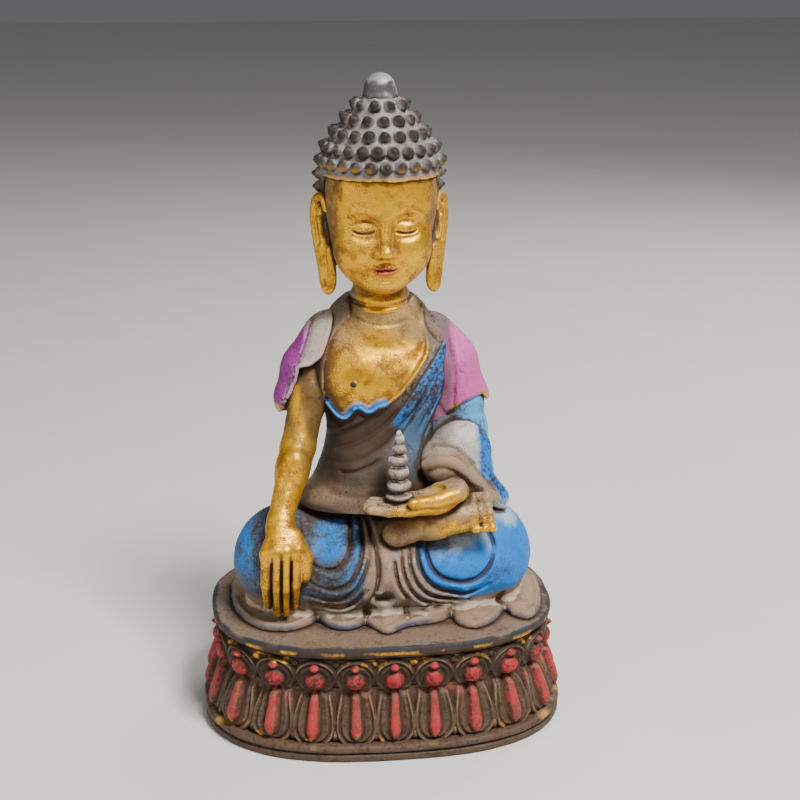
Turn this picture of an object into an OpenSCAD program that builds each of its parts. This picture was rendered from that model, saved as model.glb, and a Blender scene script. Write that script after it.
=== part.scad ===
// Seated Buddha statue, built from sectional castings on a double-lotus base.
// One tie rod draws the head, torso, legs, seat plate and base together.
// Millimetres. +Z is up, the origin is the middle of the foot, and the figure faces -Y.

/* [Lotus base] */
// Width of the base at its foot
base_w = 114; // [96:1:138]
// Depth of the base at its foot
base_d = 90; // [76:1:110]
// Height of the base, to the top of the seat plate
base_h = 36; // [30:0.5:44]
// Squareness of the outline: 2 is an ellipse and more is boxier
corner_power = 2.7; // [2:0.1:3.2]
// Height of the stepped foot moulding
foot_h = 5.5; // [4.5:0.25:7]
// Wall of the base castings
base_wall = 3; // [2.4:0.2:4]
// How far the drum stands inside the foot's outline
drum_inset = 9; // [7:0.5:11]
// How far the seat plate stands inside the foot's outline
plate_inset = 3; // [1:0.5:5]
// Thickness of the seat plate
plate_t = 3; // [2:0.5:4]
// Number of petals in each row
petal_count = 24; // [20:2:28]

/* [Fastening] */
// Diameter of the tie rod
rod_d = 6; // [4:0.5:8]
// Thickness of the bent strap that the rod pulls on
bar_t = 2; // [1.6:0.1:2.4]
// Thickness of the bottom cover
cover_t = 0.8; // [0.6:0.1:1]
// Diameter of the cover screws
screw_d = 3; // [2:0.5:4]
// Diameter of the locating dowels
dowel_d = 2.4; // [2:0.2:3]
// Gap around a rod, dowel or peg in its hole
fit_gap = 0.15; // [0.1:0.05:0.3]

/* [Figure] */
// Width across the knees
knee_span = 92; // [76:1:104]
// Radius of the knees
knee_r = 17; // [14:0.5:20]
// Thickness of the skirt that spreads on the seat plate
skirt_t = 2; // [1.5:0.5:3]
// Height of the crossed legs above the skirt
lap_h = 31; // [26:0.5:37]
// Height of the torso from the lap to the collar
torso_h = 61; // [51:0.5:73]
// Distance between the shoulder joints
shoulder_w = 37; // [30:0.5:45]
// Half depth of the chest
chest_r = 13; // [11:0.5:15]
// Wall of the figure's hollow castings
cast_wall = 3; // [2.4:0.2:4]
// Radius of the bare right arm at the elbow
arm_r = 5.2; // [4.4:0.1:6.2]
// Radius of a finger
finger_r = 1.9; // [1.6:0.1:2.2]

/* [Head] */
// Radius of the neck
neck_r = 8.3; // [7:0.1:10]
// Height of the neck from the collar to the chin
neck_h = 8; // [6.5:0.5:10]
// Height from the chin to the crown of the hair
head_h = 57; // [48:0.5:68]
// Radius of the hair cap at its widest
hair_r = 18.4; // [16:0.1:21]
// Thickness of the hair cap
cap_t = 2.4; // [1.6:0.2:3]
// Height of the hairline above the chin
hairline_h = 34; // [29:0.5:40]
// Radius of a hair curl
curl_r = 2.1; // [1.7:0.1:2.5]
// Radius of the crown jewel
jewel_r = 5; // [4:0.1:6]

/* [Pagoda] */
// Height of the pagoda above the palm
pagoda_h = 21.5; // [18:0.5:26]
// Radius of the pagoda's widest roof
pagoda_r = 4.2; // [3.4:0.1:5]
// Number of roofs
roof_count = 5; // [4:1:7]

/* [Hidden] */
$fn = 48;
ball_fn = 16;          // facets of the balls that the blended castings are hulled from
small_fn = 11;         // facets of the balls in hands and toes
outline_steps = 72;    // corners in an outline
far = 200;             // longer than any piece, for cutting tools
seam = 0.02;           // gap that keeps two seated castings from sharing a face

// Heights, from the foot up
drum_top = base_h - plate_t;
legs_z = base_h + skirt_t;
lap_z = legs_z + lap_h;
collar_z = lap_z + torso_h;
chin_z = collar_z + neck_h;
crown_z = chin_z + head_h;
ledge_t = 1.2;         // thickness of the ledge in the foot that the strap hooks under
bar_z = foot_h - ledge_t - bar_t;
strap_rise = 6;        // how far the strap's middle is raised to make room for the nut
cover_z = 0.4;
washer_t = 0.6;
nut_h = 0.8 * rod_d / 2;
nut_z = bar_z + strap_rise - washer_t - nut_h;

// Places in the figure
knee_x = knee_span / 2 - knee_r;
knee_y = -6;
knee_z = legs_z + knee_r - 2;
hip = [9, 8, legs_z + 15];
shoulder_x = shoulder_w / 2;
shoulder = [shoulder_x, 2, collar_z - 13];
elbow = [-shoulder_x - 7.5, -9, lap_z + 0.33 * torso_h];
wrist = [-knee_x - 3, knee_y - 13, lap_z + 1.5];
knuckle_y = wrist[1] - 9;
knuckle_z = wrist[2] - 9;
left_elbow = [shoulder_x + 9, -2, lap_z + 12];
palm_z = lap_z + 7;
palm = [3, -25, palm_z];
palm_rise = 1;         // height of the pagoda's seat above the middle of the palm
head_y = -3;
window_y = head_y - 3;
jewel_z = crown_z - 0.6;
rim_z = drum_top - 1.6;
waist_z = foot_h + 0.62 * (rim_z - foot_h);
ring_t = 2;            // wall of the petal rings that slip over the drum
petal_fn = 6;          // facets of the balls in petals
wrist_tilt = -26;      // slope of the joint between forearm and hand
screw_l = cover_t + 2.2;
screw_inset = base_wall + 5.5;
jewel_peg = cap_t - 0.8;

function super_point(a, b, t) = [
    a * sign(cos(t)) * pow(abs(cos(t)), 2 / corner_power),
    b * sign(sin(t)) * pow(abs(sin(t)), 2 / corner_power)
];
function outline(grow) = [
    for (i = [0:outline_steps - 1])
        super_point(base_w / 2 + grow, base_d / 2 + grow, i * 360 / outline_steps)
];
// Angles that space the petals evenly along the outline, not evenly in angle
drum_walk = [for (i = [0:360]) super_point(base_w / 2 - drum_inset, base_d / 2 - drum_inset, i - 90)];
drum_step = [for (i = [0:360]) i == 0 ? 0 : norm(drum_walk[i] - drum_walk[i - 1])];
walked = [for (s = 0, i = 0; i <= 360; s = s + (i < 360 ? drum_step[i + 1] : 0), i = i + 1) s];
function angle_at(share) = lookup(share * walked[360], [for (i = [0:360]) [walked[i], i - 90]]);
// Direction that faces out of the outline at a parameter angle
function outward(t) = let (p = super_point(base_w / 2, base_d / 2, t - 1),
                           q = super_point(base_w / 2, base_d / 2, t + 1))
    atan2(p[0] - q[0], q[1] - p[1]);

module slab(grow, z0, z1) {
    translate([0, 0, z0]) linear_extrude(z1 - z0) polygon(outline(grow));
}

module ball(p, r, f = ball_fn) {
    translate(p) sphere(r, $fn = f);
}

module bone(p, rp, q, rq, f = ball_fn) {
    hull() {
        ball(p, rp, f);
        ball(q, rq, f);
    }
}

// Hulled between a pair of mirrored balls, or two such pairs
module span(p, rp, q, rq) {
    hull() for (s = [-1, 1]) {
        ball([s * p[0], p[1], p[2]], rp);
        ball([s * q[0], q[1], q[2]], rq);
    }
}

module above(z) {
    translate([-far / 2, -far / 2, z]) cube(far);
}

module below(z) {
    translate([-far / 2, -far / 2, z - far]) cube(far);
}

module rod_hole(z0, z1, r = rod_d / 2 + fit_gap) {
    translate([0, 0, z0]) cylinder(h = z1 - z0, r = r);
}

// Puts its children at each cover screw, on the outline's diagonals
module at_screws() {
    p = super_point(base_w / 2 - screw_inset, base_d / 2 - screw_inset, 45);
    for (x = [-1, 1], y = [-1, 1]) translate([x * p[0], y * p[1], 0]) children();
}

// ---- Base ----

module plinth() {
    color([0.42, 0.34, 0.27]) difference() {
        union() {
            slab(0, 0, foot_h * 0.4);
            slab(-0.9, foot_h * 0.4, foot_h * 0.55);
            slab(0.4, foot_h * 0.55, foot_h * 0.9);
            slab(-0.4, foot_h * 0.9, foot_h);
        }
        slab(-base_wall, -1, foot_h - ledge_t);
        slab(-drum_inset - base_wall, bar_z, foot_h + 1);
    }
    color([0.42, 0.34, 0.27]) at_screws() translate([0, 0, cover_z + cover_t]) difference() {
        cylinder(h = foot_h - ledge_t - cover_t - cover_z, r = screw_d);
        translate([0, 0, -1]) cylinder(h = screw_l - cover_t + 1.3, r = screw_d / 2);
    }
}

module lotus_drum() {
    color([0.36, 0.29, 0.23]) difference() {
        union() {
            slab(-drum_inset, foot_h, drum_top);
            slab(-plate_inset - 2.5, rim_z, drum_top);
        }
        slab(-drum_inset - base_wall, foot_h - 1, drum_top + 1);
    }
}

module at_petals(phase = 0) {
    for (i = [0:petal_count - 1]) {
        t = angle_at((i + phase) / petal_count % 1);
        p = super_point(base_w / 2 - drum_inset, base_d / 2 - drum_inset, t);
        translate([p[0], p[1], 0]) rotate(outward(t)) children();
    }
}

// A drooping petal with a raised lobe: its root is at the waist and its tip over the foot
module lower_petal() {
    hull() {
        for (s = [-1, 1]) {
            ball([ring_t, s * 4, waist_z - 2], 1.2, petal_fn);
            ball([drum_inset - 4.4, s * 4.2, foot_h + 4.2], 1.7, petal_fn);
        }
        ball([drum_inset - 3.4, 0, foot_h + 2.4], 1.8, petal_fn);
    }
    bone([3.4, 0, waist_z - 3.2], 1.7, [drum_inset - 2.8, 0, foot_h + 5], 2.1, petal_fn);
}

// A leaf tip that shows between two drooping petals
module leaf_tip() {
    hull() {
        ball([ring_t - 0.4, 0, foot_h + 6], 1.6, petal_fn);
        ball([drum_inset - 4.4, 0, foot_h + 1.5], 1.1, petal_fn);
    }
}

module ring(z0, z1) {
    difference() {
        slab(ring_t - drum_inset, z0, z1);
        slab(seam - drum_inset, z0 - 1, z1 + 1);
    }
}

// Keeps petals between two heights and off the drum
module keep_petals(z0, z1) {
    intersection() {
        children();
        difference() {
            translate([-base_w, -base_d, z0]) cube([2 * base_w, 2 * base_d, z1 - z0]);
            slab(seam - drum_inset, z0 - 1, z1 + 1);
        }
    }
}

module lower_petals() {
    color([0.62, 0.25, 0.25]) union() {
        ring(foot_h + seam, waist_z);
        keep_petals(foot_h + seam, waist_z) at_petals() lower_petal();
    }
}

module leaf_tips() {
    color([0.45, 0.38, 0.31]) difference() {
        keep_petals(foot_h + seam, waist_z) at_petals(0.5) leaf_tip();
        slab(ring_t + seam - drum_inset, foot_h, drum_top);
        at_petals() lower_petal();
    }
}

// An upright bud that leans out under the rim of the seat plate
module upper_petal() {
    hull() for (s = [-1, 1]) {
        ball([ring_t, s * 2.8, waist_z + 1.4], 1.5, petal_fn);
        ball([ring_t + 1.2, s * 3.4, rim_z - 1.6], 1.8, petal_fn);
    }
    ball([ring_t + 2, 0, waist_z + 2.4], 2, petal_fn);
}

module upper_petals() {
    color([0.55, 0.22, 0.22]) union() {
        ring(waist_z + seam, rim_z - seam);
        keep_petals(waist_z + seam, rim_z - seam) at_petals() upper_petal();
    }
}

module seat_plate() {
    color([0.80, 0.74, 0.66]) difference() {
        union() {
            slab(-plate_inset - 0.7, drum_top, drum_top + 0.5);
            slab(-plate_inset, drum_top + 0.5, base_h - 0.6);
            slab(-plate_inset - 0.5, base_h - 0.6, base_h);
        }
        rod_hole(drum_top - 1, base_h + 1);
    }
}

// Side view of the strap: its ends hook under the foot's ledge and its middle stands higher
module strap_profile() {
    end = base_d / 2 - base_wall - 0.5;
    foot_of_bend = base_d / 2 - drum_inset - base_wall - 1.5;
    top_of_bend = foot_of_bend - strap_rise;
    lower = [[-end, 0], [-foot_of_bend, 0], [-top_of_bend, strap_rise],
             [top_of_bend, strap_rise], [foot_of_bend, 0], [end, 0]];
    draw = 0.4 * bar_t;
    upper = [[end, bar_t], [foot_of_bend - draw, bar_t], [top_of_bend - draw, strap_rise + bar_t],
             [draw - top_of_bend, strap_rise + bar_t], [draw - foot_of_bend, bar_t], [-end, bar_t]];
    polygon(concat(lower, upper));
}

module strap() {
    color([0.55, 0.56, 0.58]) difference() {
        translate([-7, 0, bar_z]) rotate([90, 0, 90]) linear_extrude(14) strap_profile();
        rod_hole(bar_z, foot_h + strap_rise + bar_t);
    }
}

module bottom_cover() {
    color([0.66, 0.52, 0.26]) difference() {
        slab(-base_wall - 0.25, cover_z, cover_z + cover_t);
        at_screws() cylinder(h = 10, r = screw_d / 2 + fit_gap, center = true);
    }
}

module cover_screws() {
    color([0.7, 0.7, 0.72]) at_screws() {
        difference() {
            translate([0, 0, 0.05]) cylinder(h = cover_z - 0.05, r = screw_d * 0.9);
            translate([-screw_d, -0.3, -0.5]) cube([2 * screw_d, 0.6, 0.75]);
        }
        translate([0, 0, cover_z]) cylinder(h = screw_l, r = screw_d / 2 - 0.05);
    }
}

// ---- Tie rod ----

module tie_rod() {
    color([0.7, 0.7, 0.72]) rod_hole(nut_z, chin_z + 6, rod_d / 2);
}

module rod_washer() {
    color([0.7, 0.7, 0.72]) translate([0, 0, nut_z + nut_h]) difference() {
        cylinder(h = washer_t, r = rod_d);
        rod_hole(-1, 2);
    }
}

module rod_nut() {
    color([0.7, 0.7, 0.72]) translate([0, 0, nut_z]) difference() {
        cylinder(h = nut_h, r = rod_d * 0.9, $fn = 6);
        rod_hole(-1, nut_h + 1, rod_d / 2 + 0.02);
    }
}

// ---- Legs and skirt ----

// Half-widths of the skirt round the figure: lobes at the front, a plain sweep behind
function skirt_point(t) = let (
    front = max(0, -sin(t)),
    lobe = 1 + 0.055 * front * cos(8 * (t + 90)) + 0.05 * front * front
) [(knee_span / 2 + 3.5) * lobe * sign(cos(t)) * pow(abs(cos(t)), 0.82),
   -3 + 29 * lobe * sign(sin(t)) * pow(abs(sin(t)), 0.82)];

module skirt() {
    color([0.72, 0.66, 0.58]) difference() {
        translate([0, 0, base_h]) linear_extrude(skirt_t)
            polygon([for (i = [0:95]) skirt_point(i * 360 / 96)]);
        rod_hole(base_h - 1, legs_z + 1);
    }
}

module legs_form(inset) {
    for (s = [-1, 1])
        bone([s * knee_x, knee_y, knee_z], knee_r - inset,
             [s * hip[0], hip[1], hip[2]], knee_r - 1 - inset);
    span([knee_x - 6, knee_y - 8, legs_z + 11], 11 - inset, [8, knee_y - 10, legs_z + 13], 12 - inset);
    span([12, -4, lap_z - 12], 12 - inset, [12, 6, lap_z - 12], 12 - inset);
}

module legs_solid() {
    intersection() {
        legs_form(0);
        above(legs_z + seam);
        below(lap_z);
    }
}

module legs() {
    color([0.16, 0.36, 0.52]) difference() {
        legs_solid();
        intersection() {
            legs_form(cast_wall);
            above(legs_z + cast_wall);
            below(lap_z - cast_wall);
        }
        rod_hole(legs_z - 1, lap_z + 1);
    }
}

module foot_form() {
    bone([-5, knee_y - 19, lap_z - 6], 4.2, [knee_x - 4, knee_y - 17, lap_z - 2.6], 4.6, small_fn);
    for (i = [0:4])
        bone([knee_x - 3, knee_y - 19 + 2.3 * i, lap_z - 1.4], 1.9,
             [knee_x + 4 - 0.5 * i, knee_y - 19 + 2.3 * i, lap_z - 1.2], 1.3, small_fn);
}

module right_foot() {
    color([0.74, 0.55, 0.20]) difference() {
        foot_form();
        legs_form(-seam);
    }
}

// ---- Torso and arms ----

module torso_form(inset) {
    span([6, 0, lap_z + 2], 16 - inset, [3.4, 1, lap_z + 0.4 * torso_h], chest_r - inset);
    span([3.4, 1, lap_z + 0.4 * torso_h], chest_r - inset, [7.5, 1.5, collar_z - 18], chest_r - inset);
    span([9, 1.5, collar_z - 18], chest_r - 1 - inset, [shoulder_x - 3.5, 3, collar_z - 14], 8 - inset);
    span([shoulder_x - 3.5, 3, collar_z - 14], 8 - inset, [5, 3, collar_z - 4], 7.5 - inset);
}

module torso_solid() {
    intersection() {
        torso_form(0);
        above(lap_z + seam);
        below(collar_z);
    }
}

module torso() {
    color([0.45, 0.36, 0.24]) difference() {
        torso_solid();
        intersection() {
            torso_form(cast_wall);
            above(lap_z + cast_wall);
            below(collar_z - cast_wall - 1);
        }
        rod_hole(lap_z - 1, collar_z + 1);
        arm_tenon(fit_gap);
        arm_pin(fit_gap, far);
    }
}

// The arm's round tenon, which a pin locks in the torso
module arm_tenon(gap = 0) {
    translate([-shoulder[0] - 4.5, shoulder[1] + 1, shoulder[2] - 1]) rotate([0, 90, 0])
        cylinder(h = 11.5 + gap, r = 3 + gap);
}

// The pin enters from the back, below the collar, and stops in the tenon
module arm_pin(gap = 0, length = 7) {
    translate([-shoulder[0] + 4, shoulder[1] - 1, shoulder[2] - 1]) rotate([-90, 0, 0])
        cylinder(h = length + gap, r = dowel_d / 2 + gap);
}

module arm_form(inset = 0) {
    bone([-shoulder[0] - 1, shoulder[1] + 1, shoulder[2] - 1.5], arm_r + 0.4 - inset,
         elbow, arm_r - inset);
    bone(elbow, arm_r - inset, wrist, arm_r - 0.9 - inset);
}

module cape_form() {
    bone([-shoulder[0] + 4, 3, shoulder[2] + 2], 10.4, [-shoulder[0] - 2.8, 3, collar_z - 20], 8.8);
    bone([-shoulder[0] - 2.8, 3, collar_z - 20], 8.8, [-shoulder[0] - 5.6, 3, collar_z - 29], 7.4);
}

module right_cape() {
    color([0.56, 0.22, 0.50]) difference() {
        cape_form();
        torso_form(-seam);
        arm_form(-seam);
        arm_tenon(fit_gap);
        above(collar_z - 2);
    }
}

module right_arm() {
    color([0.80, 0.60, 0.22]) difference() {
        union() {
            difference() {
                arm_form();
                torso_form(-seam);
                legs_form(-seam);
                wrist_cut();
            }
            arm_tenon();
        }
        arm_pin(fit_gap, far);
    }
}

// The half-space on the hand's side of the wrist joint
module wrist_cut() {
    translate(wrist) rotate([wrist_tilt, 0, 0]) translate([-far / 2, -far / 2, -far]) cube(far);
}

module hand_form() {
    bone(wrist, arm_r - 0.9, [wrist[0] - 1.5, wrist[1] - 4, wrist[2] - 4], 4.2, small_fn);
    hull() {
        ball([wrist[0] - 1, wrist[1] - 3, wrist[2] - 4], 4.2, small_fn);
        ball([wrist[0] - 5.8, knuckle_y, knuckle_z], 2.4, small_fn);
        ball([wrist[0] + 4, knuckle_y, knuckle_z], 2.4, small_fn);
    }
    for (i = [0:3]) {
        reach = i == 1 || i == 2 ? 1 : 0;
        bend = [wrist[0] - 5.9 + 3.25 * i, knuckle_y + 1.2, knuckle_z - 9 - reach];
        bone([wrist[0] - 5.8 + 3.25 * i, knuckle_y, knuckle_z], finger_r, bend, finger_r - 0.1, small_fn);
        bone(bend, finger_r - 0.1, [wrist[0] - 4.6 + 2.7 * i, knuckle_y + 9, legs_z + 4 - reach],
             finger_r - 0.4, small_fn);
    }
    bone([wrist[0] + 3.6, wrist[1] - 5, knuckle_z + 2], 2.2,
         [wrist[0] + 7, knuckle_y + 1.6, knuckle_z - 8], finger_r - 0.1, small_fn);
}

module right_hand() {
    color([0.80, 0.60, 0.22]) difference() {
        intersection() {
            hand_form();
            translate([0, 0, -seam]) wrist_cut();
        }
        legs_form(-seam);
    }
}

module sleeve_form() {
    bone([shoulder[0] - 4, 3, shoulder[2] + 2.4], 10, [shoulder[0] + 8, 3, collar_z - 31], 7.8);
    bone([shoulder[0] + 8, 3, collar_z - 31], 7.4, left_elbow, 7);
}

module left_sleeve() {
    color([0.80, 0.40, 0.62]) difference() {
        sleeve_form();
        torso_form(-seam);
        legs_form(-seam);
        above(collar_z - 2);
    }
}

// The drape that falls from the forearm over the thigh
module cuff_form() {
    hull() {
        ball([left_elbow[0] - 2, left_elbow[1] - 5, left_elbow[2] + 1], 6, ball_fn);
        ball([17, -19, palm_z + 4], 3.6, ball_fn);
        ball([knee_x + 1, knee_y - 11, lap_z + 1.5], 2.4, ball_fn);
        ball([knee_x + 6, knee_y - 2, lap_z + 2], 3, ball_fn);
    }
}

module left_cuff() {
    color([0.80, 0.75, 0.68]) difference() {
        cuff_form();
        sleeve_form();
        torso_form(-seam);
        legs_form(-seam);
        foot_form();
        palm_form();
    }
}

module palm_form() {
    hull() {
        ball([19, -22, palm_z], 3.4, small_fn);
        ball([6, -22, palm_z - 1.6], 2.6, small_fn);
        ball([6, -29, palm_z - 1.6], 2.4, small_fn);
        ball([16, -28, palm_z], 2.8, small_fn);
    }
    for (i = [0:3])
        bone([5, -29.6 + 2.7 * i, palm_z - 1.6], 1.8,
             [-5.5 + 0.5 * i, -29.4 + 2.6 * i, palm_z - 0.8], 1.5, small_fn);
    bone([17, -30.5, palm_z + 1], 2.3, [6.5, -31.5, palm_z + 0.9], 1.7, small_fn);
}

module left_hand() {
    color([0.80, 0.60, 0.22]) difference() {
        palm_form();
        foot_form();
        torso_form(-seam);
        legs_form(-seam);
        peg_hole(palm, fit_gap);
        translate([palm[0], palm[1], palm[2] + palm_rise]) cylinder(h = pagoda_h, r = pagoda_r);
    }
}

module peg_hole(p, gap) {
    translate([p[0], p[1], p[2] - 3 - gap]) cylinder(h = 20, r = 1.2 + gap);
}

// ---- Pagoda ----

function roof(i) = let (
    step = (pagoda_h - 7) / roof_count,
    z = 2.2 + i * step,
    r = pagoda_r * (1 - 0.13 * i)
) [[r * 0.62, z], [r, z + 0.34 * step], [r * 0.94, z + 0.5 * step], [r * 0.55, z + step]];

module pagoda() {
    color([0.86, 0.80, 0.74]) translate([palm[0], palm[1], palm[2] + palm_rise]) rotate_extrude()
        polygon(concat(
            [[0, -3], [1.2, -3], [1.2, 0],
             [pagoda_r * 0.9, 0], [pagoda_r * 0.9, 1], [pagoda_r * 0.62, 1.4]],
            [for (i = [0:roof_count - 1]) each roof(i)],
            [for (a = [-30:30:60]) [1.5 * cos(a), pagoda_h - 2.9 + 1.6 * sin(a)]],
            [[0.5, pagoda_h - 0.9], [0, pagoda_h]]
        ));
}

module arm_dowel() {
    color([0.6, 0.6, 0.62]) arm_pin();
}

// ---- Head ----

module neck() {
    color([0.80, 0.60, 0.22]) difference() {
        rotate_extrude() polygon(concat(
            [[0, collar_z + seam], [neck_r + 2, collar_z + seam]],
            [for (k = [0:1], a = [-60:30:60])
                [neck_r - 0.6 * k + 0.4 + 1.1 * cos(a),
                 collar_z + (0.24 + 0.4 * k + 0.18 * sin(a)) * neck_h]],
            [[neck_r - 1.2, chin_z], [0, chin_z]]
        ));
        rod_hole(collar_z - 1, chin_z + 1);
    }
}

// Half-width of the hair over the height, as a share of head_h above the chin
function hair_profile(grow, top) = concat(
    [for (u = [0:0.1:0.6]) [grow + hair_r * (0.7 + 0.3 * sin(150 * u)), chin_z + u * head_h]],
    [for (t = [12:12:72])
        [grow + hair_r * (0.24 + 0.76 * pow(cos(t), 1.3)), chin_z + (0.6 + 0.36 * sin(t)) * head_h]],
    [[max(0.1, grow + hair_r * 0.28), top]]
);

module skull_form(grow) {
    translate([0, head_y, 0]) rotate_extrude() polygon(concat(
        [[0, chin_z + seam]], hair_profile(grow, crown_z + grow), [[0, crown_z + grow]]
    ));
}

// The space in front of the ears and under the hairline, where the face shows
module face_window() {
    translate([-far / 2, window_y - far, chin_z - 40]) cube([far, far, 40 + hairline_h]);
}

module face_form() {
    hull() {
        ball([0, head_y - 8.4, chin_z + 6.4], 6.4);
        for (s = [-1, 1]) {
            ball([s * 7, head_y - 5, chin_z + 12], 8.6);
            ball([s * 6.6, head_y - 5.6, chin_z + 24], 9.8);
        }
    }
}

module head() {
    color([0.80, 0.60, 0.22]) difference() {
        union() {
            skull_form(-cap_t);
            intersection() {
                face_form();
                face_window();
            }
        }
        below(chin_z + seam);
        rod_hole(chin_z - 1, chin_z + 6.5, rod_d / 2 + 0.02);
    }
}

module ears() {
    color([0.80, 0.60, 0.22]) difference() {
        ear_form();
        skull_form(seam);
    }
}

module ear_form() {
    for (s = [-1, 1]) hull() {
        ball([s * (hair_r + 0.4), head_y + 1, chin_z + 24], 2.2, small_fn);
        ball([s * (hair_r + 0.2), head_y - 2, chin_z + 18], 1.8, small_fn);
        ball([s * (hair_r - 2.2), head_y - 1.5, chin_z - 1.5], 2.2, small_fn);
    }
}

module hair_cap() {
    color([0.28, 0.26, 0.25]) difference() {
        skull_form(0);
        skull_form(-cap_t + seam);
        face_window();
        below(chin_z + 6);
        peg_hole([0, head_y, crown_z], fit_gap);
    }
}

curl_rows = floor((head_h - 8) / (2.05 * curl_r));
// Radius of the hair at a height above the chin, read from the profile
function hair_at(z) = lookup(z, [for (p = hair_profile(0, crown_z)) [p[1], p[0]]]);

// A snail curl on the plane z = 0
module curl() {
    translate([0, 0, -0.8]) cylinder(h = 2.8, r1 = 1.06 * curl_r, r2 = 0.5 * curl_r, $fn = 8);
}

module hair_curls() {
    color([0.30, 0.28, 0.27]) difference() {
        all_curls();
        skull_form(seam);
        ear_form();
    }
}

module all_curls() {
    for (row = [0:curl_rows - 1]) {
        z = chin_z + 8 + (row + 0.5) * (head_h - 10) / curl_rows;
        r = hair_at(z);
        slope = atan2(hair_at(z - 1) - hair_at(z + 1), 2);
        count = floor(180 / asin(min(1, 1.08 * curl_r / r)));
        for (i = [0:count - 1]) {
            a = 90 + (i + (row % 2) / 2) * 360 / count;
            shown = z > chin_z + hairline_h + curl_r || r * sin(a) + head_y > window_y + curl_r;
            near_ear = abs(abs(r * cos(a)) - r) < 3 && z < chin_z + 27;
            if (shown && !near_ear)
                translate([r * cos(a), head_y + r * sin(a), z]) rotate([0, 90 - slope, a]) curl();
        }
    }
}

module crown_jewel() {
    color([0.35, 0.33, 0.33]) translate([0, head_y, jewel_z]) rotate_extrude() polygon(concat(
        [[0, -jewel_peg], [1.2, -jewel_peg], [1.2, 0.62], [jewel_r * 0.9, 0.62]],
        [for (a = [0:15:90]) [jewel_r * cos(a), 3 + (jewel_r - 0.2) * sin(a)]]
    ));
}

plinth();
lotus_drum();
lower_petals();
leaf_tips();
upper_petals();
seat_plate();
strap();
bottom_cover();
cover_screws();
tie_rod();
rod_washer();
rod_nut();
skirt();
legs();
right_foot();
torso();
right_cape();
right_arm();
right_hand();
left_sleeve();
left_cuff();
left_hand();
pagoda();
arm_dowel();
neck();
head();
ears();
hair_cap();
hair_curls();
crown_jewel();
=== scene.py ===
import math

import bmesh
import bpy
import numpy as np
import openvdb as vdb
from mathutils import Matrix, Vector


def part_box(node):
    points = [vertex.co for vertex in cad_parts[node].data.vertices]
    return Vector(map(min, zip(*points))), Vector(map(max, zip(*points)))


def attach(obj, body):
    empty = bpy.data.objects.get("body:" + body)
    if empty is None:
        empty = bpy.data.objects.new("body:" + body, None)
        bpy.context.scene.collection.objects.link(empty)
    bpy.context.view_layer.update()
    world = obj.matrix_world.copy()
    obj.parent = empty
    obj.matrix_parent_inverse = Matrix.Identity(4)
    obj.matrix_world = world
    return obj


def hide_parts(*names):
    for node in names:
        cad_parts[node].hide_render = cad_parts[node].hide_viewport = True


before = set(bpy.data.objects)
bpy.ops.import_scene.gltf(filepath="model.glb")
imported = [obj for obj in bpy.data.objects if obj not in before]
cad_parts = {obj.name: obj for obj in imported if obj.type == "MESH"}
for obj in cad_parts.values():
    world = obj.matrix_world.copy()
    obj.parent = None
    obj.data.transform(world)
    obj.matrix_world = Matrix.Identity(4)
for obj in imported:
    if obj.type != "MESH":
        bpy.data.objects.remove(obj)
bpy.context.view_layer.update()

MM = 0.001
FAR = 6.0                                # mm, the value of empty clay
GRAIN = 0.5      # mm, clay grid of the robes
FINE = 0.3       # mm, clay grid of hands, face and hair
TURN = 2 * math.pi

# ---- Heights and widths taken from the frame, in mm ----


def low(node):
    return np.array(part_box(node)[0]) / MM


def high(node):
    return np.array(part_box(node)[1]) / MM


BASE_A = high("plinth")[0] - 0.4         # half width and half depth of the base outline
BASE_B = high("plinth")[1] - 0.4
FOOT_TOP = high("plinth")[2]
SEAT = high("seat_plate")[2]
PLATE_LOW = low("seat_plate")[2]
RIM_LOW = high("upper_petals")[2]
WAIST = low("upper_petals")[2]
LAP = low("torso")[2]
COLLAR = high("torso")[2]
CHIN = low("head")[2]
CROWN = high("hair_cap")[2]
TOP = high("crown_jewel")[2]
HEAD_Y = (low("hair_cap")[1] + high("hair_cap")[1]) / 2
CORNER = 2.7                             # squareness of the base outline
PETALS = 24
DRUM_INSET = 9.0                         # from the base outline in to the drum

# ---- Paint colours, linear ----

GOLD = (0.90, 0.47, 0.018)
GOLD_PALE = (0.95, 0.60, 0.10)
GOLD_DARK = (0.13, 0.055, 0.012)
PATINA = (0.050, 0.029, 0.017)
TAUPE = (0.112, 0.071, 0.044)
TAUPE_DARK = (0.038, 0.024, 0.016)
CREAM = (0.315, 0.222, 0.146)
WHITE = (0.64, 0.54, 0.44)
BLUE = (0.002, 0.195, 0.66)
BLUE_PALE = (0.05, 0.34, 0.80)
BLUE_DARK = (0.020, 0.040, 0.060)
PURPLE = (0.30, 0.035, 0.27)
PINK = (0.62, 0.105, 0.38)
ROSE = (0.47, 0.024, 0.034)
ROSE_PALE = (0.44, 0.075, 0.060)
BASE_BROWN = (0.058, 0.034, 0.021)
HAIR = (0.030, 0.023, 0.020)
ASH = (0.27, 0.25, 0.235)
LIP = (0.42, 0.035, 0.025)


# ---- Small maths ----


def ramp(x, a, b):
    """0 where x is at a or before it, 1 at b or past it, smooth between."""
    t = np.clip((x - a) / (b - a), 0, 1)
    return t * t * (3 - 2 * t)


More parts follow.
